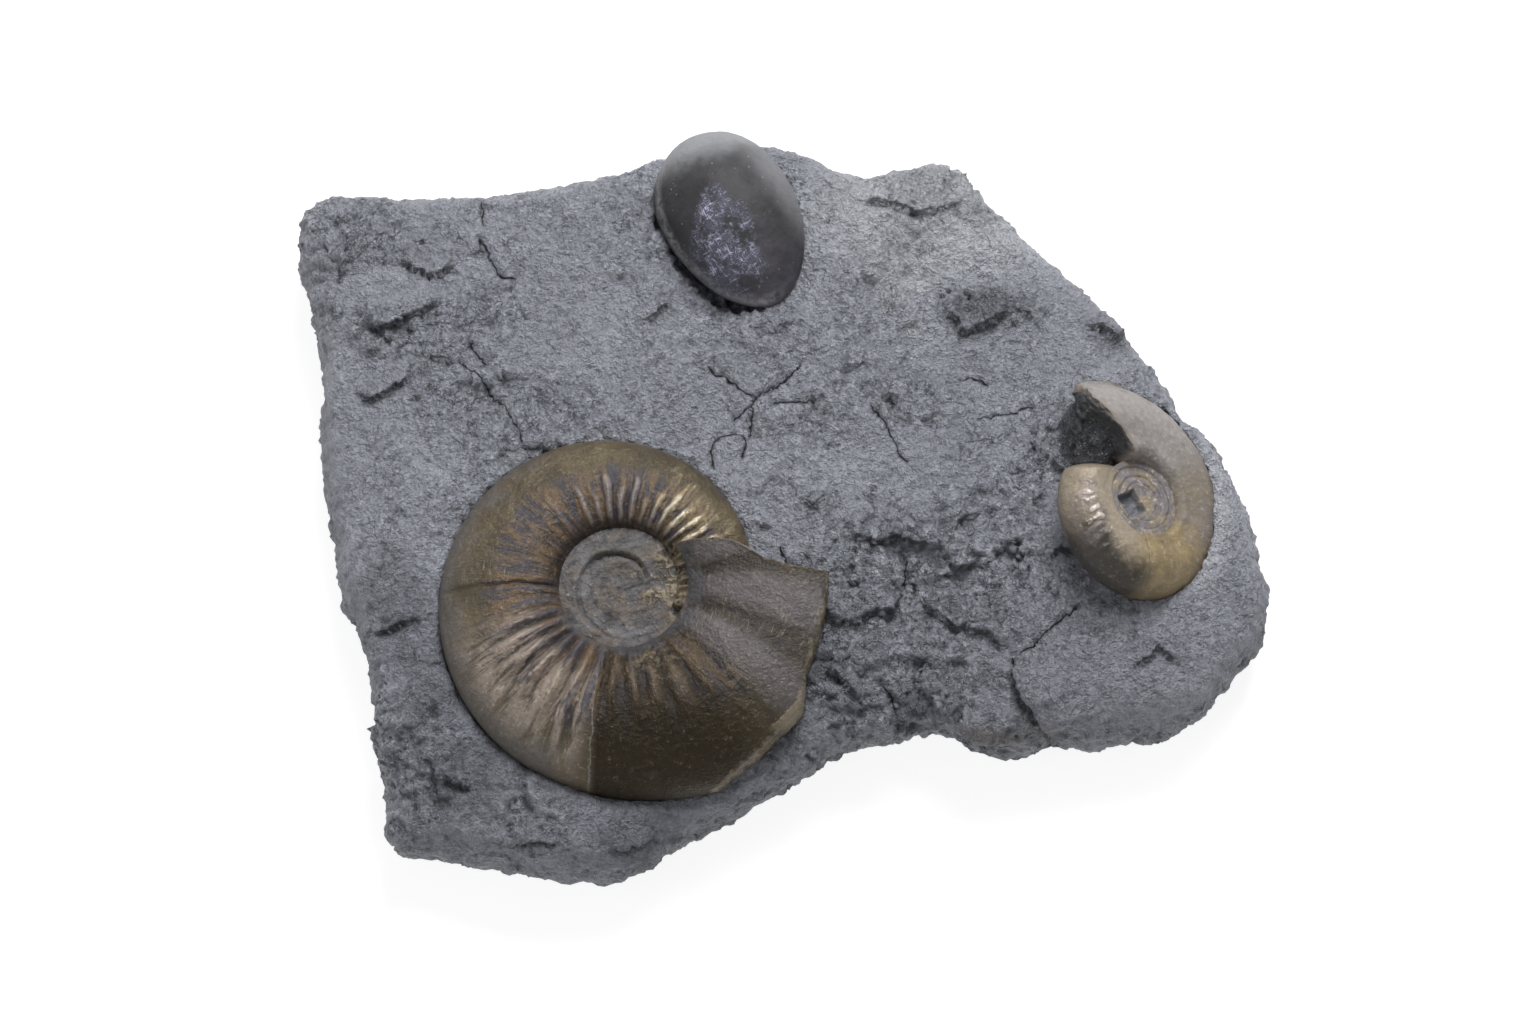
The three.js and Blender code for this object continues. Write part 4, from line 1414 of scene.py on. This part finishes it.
    # Tan crust, scratches, the fold at the seam and a grey film on the rim
    tan = spots(web, x, y, TAN_PLACES) * web.ramp(fine * 0.6 + middle * 0.5 + edge * 0.4, 0.44, 0.58)
    tan = tan * web.most(web.most(web.ramp(out, 0.3, 0.1), core), web.ramp(edge, 0.15, 0.5))
    crust = web.most(tan, web.ramp(edge + fine * 0.7 + middle * 0.4, 1.3, 1.6) * 0.5)
    fold = groove(web, turn - LARGE_SEAM + 0.5 - out * 5 + sway * 4, 0.9) * web.ramp(out, 0.04, 0.15)
    film = web.ramp(out + sway * 0.5, 0.72, 0.96) * web.between(turn, 100, 145, 245, 262)
    colour = web.layers(
        colour,
        (crust, 0.8, (140, 128, 107)),
        (scratch * skin * (1 - dark * 0.8), 0.3, (168, 154, 130)),
        (fold, 0.5, (150, 146, 140)),
        (film, 0.85, (106, 101, 97)),
    )
    colour = web.mottle(web.mottle(colour, fine, 0.2), speck, 0.14)
    # Painted highlights: bright specks on the colour
    glint = web.ramp(fine, 0.58, 0.66) * web.ramp(speck, 0.45, 0.6)
    glint = glint * (gold_and_sheen + pink * 0.6 + core * 0.2 + 0.14)
    colour = web.tint(glint * 0.8, colour, (226, 212, 182))

    shine = (1 - crust) * (1 - core * 0.7)
    relief = middle * 0.2 + fine * 0.32 + streak * (1 - late * 0.7) * 0.3
    web.feed(
        Base_Color=colour,
        Metallic=shine * 0.2 + dark * 0.4 + glint * 0.3,
        Roughness=0.6 - shine * 0.26 + (fine - 0.5) * 0.3 - glint * 0.2,
        Normal=web.bump(relief + speck * 0.08 + crust * 0.2),
    )
    return web.material


# %% [markdown]
# ## The small shell's finish
# Olive brown below and dull grey brown, as if dusted, from the middle of the right side up to
# the mouth. A smoky patch shows where the skin is worn at the left, and the silvery crests there
# are painted highlights. The closed ends are painted dark as the shade in the broken mouth, and
# the glints are painted highlights.

# %% Olive skin of the small shell
def olive_finish():
    web = Finish("olive_shell")
    at = web.at
    turn, out, edge, wall = web.all_kept("grown", "out", "edge", "wall")
    rib, core, seam, pit = web.all_kept("rib", "core", "seam", "pit")
    broad = web.noise(at, 4.5, 3, 0.6)
    middle = web.noise(at, 2.2, 3, 0.6)
    fine = web.noise(at, 0.7, 4, 0.7)
    drift = broad - 0.5
    sway = middle - 0.5

    earlier = web.ramp(turn + drift * 60, 275, 235)
    dusty = web.ramp(turn + out * 10 + drift * 60, 312, 352)
    spot = web.ramp(broad + sway * 0.5, 0.5, 0.62) * dusty
    inwards = web.ramp(turn, 200, 262)
    smoke = web.ramp(turn + drift * 40, 180, 225) * web.ramp(turn + sway * 16, 280, 262)
    smoke = smoke * web.ramp(out + sway * 0.5 - inwards * 0.2, 0.38, 0.64)
    smoke = smoke * web.ramp(out + drift * 0.5 - inwards * 0.4, 1.15, 0.95)
    # Painted highlights on the crests of the short ribs at the left
    silver_highlight = web.between(turn, 178, 188, 206, 218) * web.ramp(rib, 0.08, 0.25)
    silver_highlight = silver_highlight * web.ramp(out, 0.96, 0.86) * web.ramp(middle + fine * 0.3, 0.5, 0.62)
    mauve = web.between(turn, 166, 182, 215, 232) * web.between(out, 0.4, 0.6, 0.9, 1)
    mauve = mauve * (1 - silver_highlight) * web.ramp(middle, 0.35, 0.55)
    colour = web.layers(
        web.tint(web.ramp(middle, 0.35, 0.65), (145, 128, 94), (127, 112, 85)),
        (earlier, 0.8, (154, 143, 128)),
        (dusty, 0.92, web.tint(web.ramp(turn, 370, 430), (114, 105, 93), (142, 138, 136))),
        (spot, 0.55, (122, 114, 112)),
        (smoke, 0.92, (55, 52, 49)),
        (silver_highlight, 0.9, (206, 192, 182)),
        (mauve, 0.6, (118, 108, 108)),
    )
    line = groove(web, turn - SMALL_SEAM - out * 8 + sway * 6, 2.4) * web.ramp(out, 0.7, 0.5)
    colour = web.shade(colour, 1 - line * 0.4)

    ring = web.tint(web.ramp(middle + fine * 0.3, 0.6, 0.8), (120, 114, 115), (138, 126, 106))
    ring = web.tint(pit, web.shade(ring, 1 - seam * 0.5), (100, 102, 108))
    colour = web.mottle(web.tint(core, colour, ring), fine, 0.16)
    crust = web.ramp(edge + fine * 0.7, 1, 1.3)
    # Painted highlights: bright specks on the colour
    glint = web.ramp(fine, 0.58, 0.66) * (silver_highlight * 0.8 + core * 0.2 + 0.12)
    colour = web.layers(
        colour,
        (crust, 0.6, (122, 112, 98)),
        # The closed ends of the coil, painted dark as the shade in the broken mouth
        (wall, 1, (56, 57, 60)),
        (glint, 1, (228, 220, 214)),
    )
    web.feed(
        Base_Color=colour,
        Metallic=(1 - dusty) * (1 - core) * 0.2,
        Roughness=0.42 + dusty * 0.16 + core * 0.15 + (fine - 0.5) * 0.3 - silver_highlight * 0.1,
        Normal=web.bump(fine * 0.16 + middle * 0.3),
    )
    return web.material


# %% [markdown]
# ## The smooth shell's finish
# Nearly black and satin, with pale dust where the recipe stored it, a few light specks, and a
# patch of thin bluish crystals with a painted bluish sheen on the side that faces the camera. The
# crystals are noise that is stretched along two directions. The lower end is painted lighter, to
# even out its shade.

# %% Dark skin of the smooth shell
# Places of the patch of crystals, which also carries a painted bluish sheen
CRYSTAL_PLACES = [(-6.9, 30.6, 3.4, 4.4), (-4.9, 27.2, 3, 2.6), (-8.0, 34.6, 1.6, 2.2)]


def dark_finish():
    web = Finish("dark_shell")
    at = web.at
    x, y, _ = web.split(at)
    dust, keel = web.all_kept("dust", "keel")
    broad = web.noise(at, 3, 3, 0.6)
    fine = web.noise(at, 0.8, 4, 0.7)
    across = web.dot(at, (2.8, 1.5, 0.5))
    along = web.dot(at, (-0.35, 0.65, 0.25))
    streak = web.noise(web.join(across, along, 0), 1, 3, 0.7, 1.2)
    other = web.noise(web.join(along * 4, across * 0.25, 0), 1, 3, 0.7, 1.2)
    # Crystal streaks, partly a painted bluish sheen
    crystals_and_sheen = web.ramp(web.most(streak, other), 0.52, 0.64)
    patch = spots(web, x, y, CRYSTAL_PLACES) * web.ramp(broad + fine * 0.5, 0.6, 0.85)
    speck = web.ramp(web.cells(at, 0.9), 0.16, 0.08) * web.ramp(web.noise(at, 2, 1), 0.5, 0.6)
    chips = web.most(speck * (1 - dust) * 0.7, keel * web.ramp(fine, 0.35, 0.6) * 0.4)
    colour = web.tint(web.ramp(broad, 0.35, 0.65), (41, 40, 44), (53, 51, 56))
    colour = web.layers(
        # Painted light: the lower end is up to three times lighter, to even out its shade
        web.shade(colour, web.ramp(y, 31, 24, 1, 3, "LINEAR")),
        (dust, 0.85, (146, 147, 151)),
        (patch, 0.75, (92, 92, 108)),
        (patch * crystals_and_sheen, 1, (208, 208, 236)),
        (chips, 1, (160, 160, 162)),
    )
    web.feed(
        Base_Color=web.shade(colour, fine * 0.4 + 0.8),
        Roughness=0.58 + dust * 0.25 + fine * 0.1,
        Normal=web.bump(fine * 0.1 + patch * crystals_and_sheen * 0.2 + broad * 0.3),
    )
    return web.material


# %% [markdown]
# ## Put the pieces on the frame
# Each piece rides on the one body, takes its finish and stands for its CAD solid.

# %% Finish, ride and replace
for piece, finish, slot, node in (
    (slab, shale_finish(), "shale", "shale_slab"),
    (large, bronze_finish(), "bronze_pyrite", "large_ammonite"),
    (small, olive_finish(), "olive_pyrite", "small_ammonite"),
    (egg, dark_finish(), "dark_shell", "smooth_ammonite"),
):
    piece.data.materials.clear()
    piece.data.materials.append(finish)
    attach(piece, "root")
    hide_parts(node)
    print(piece.name, "stands for", node, "in", finish.name)
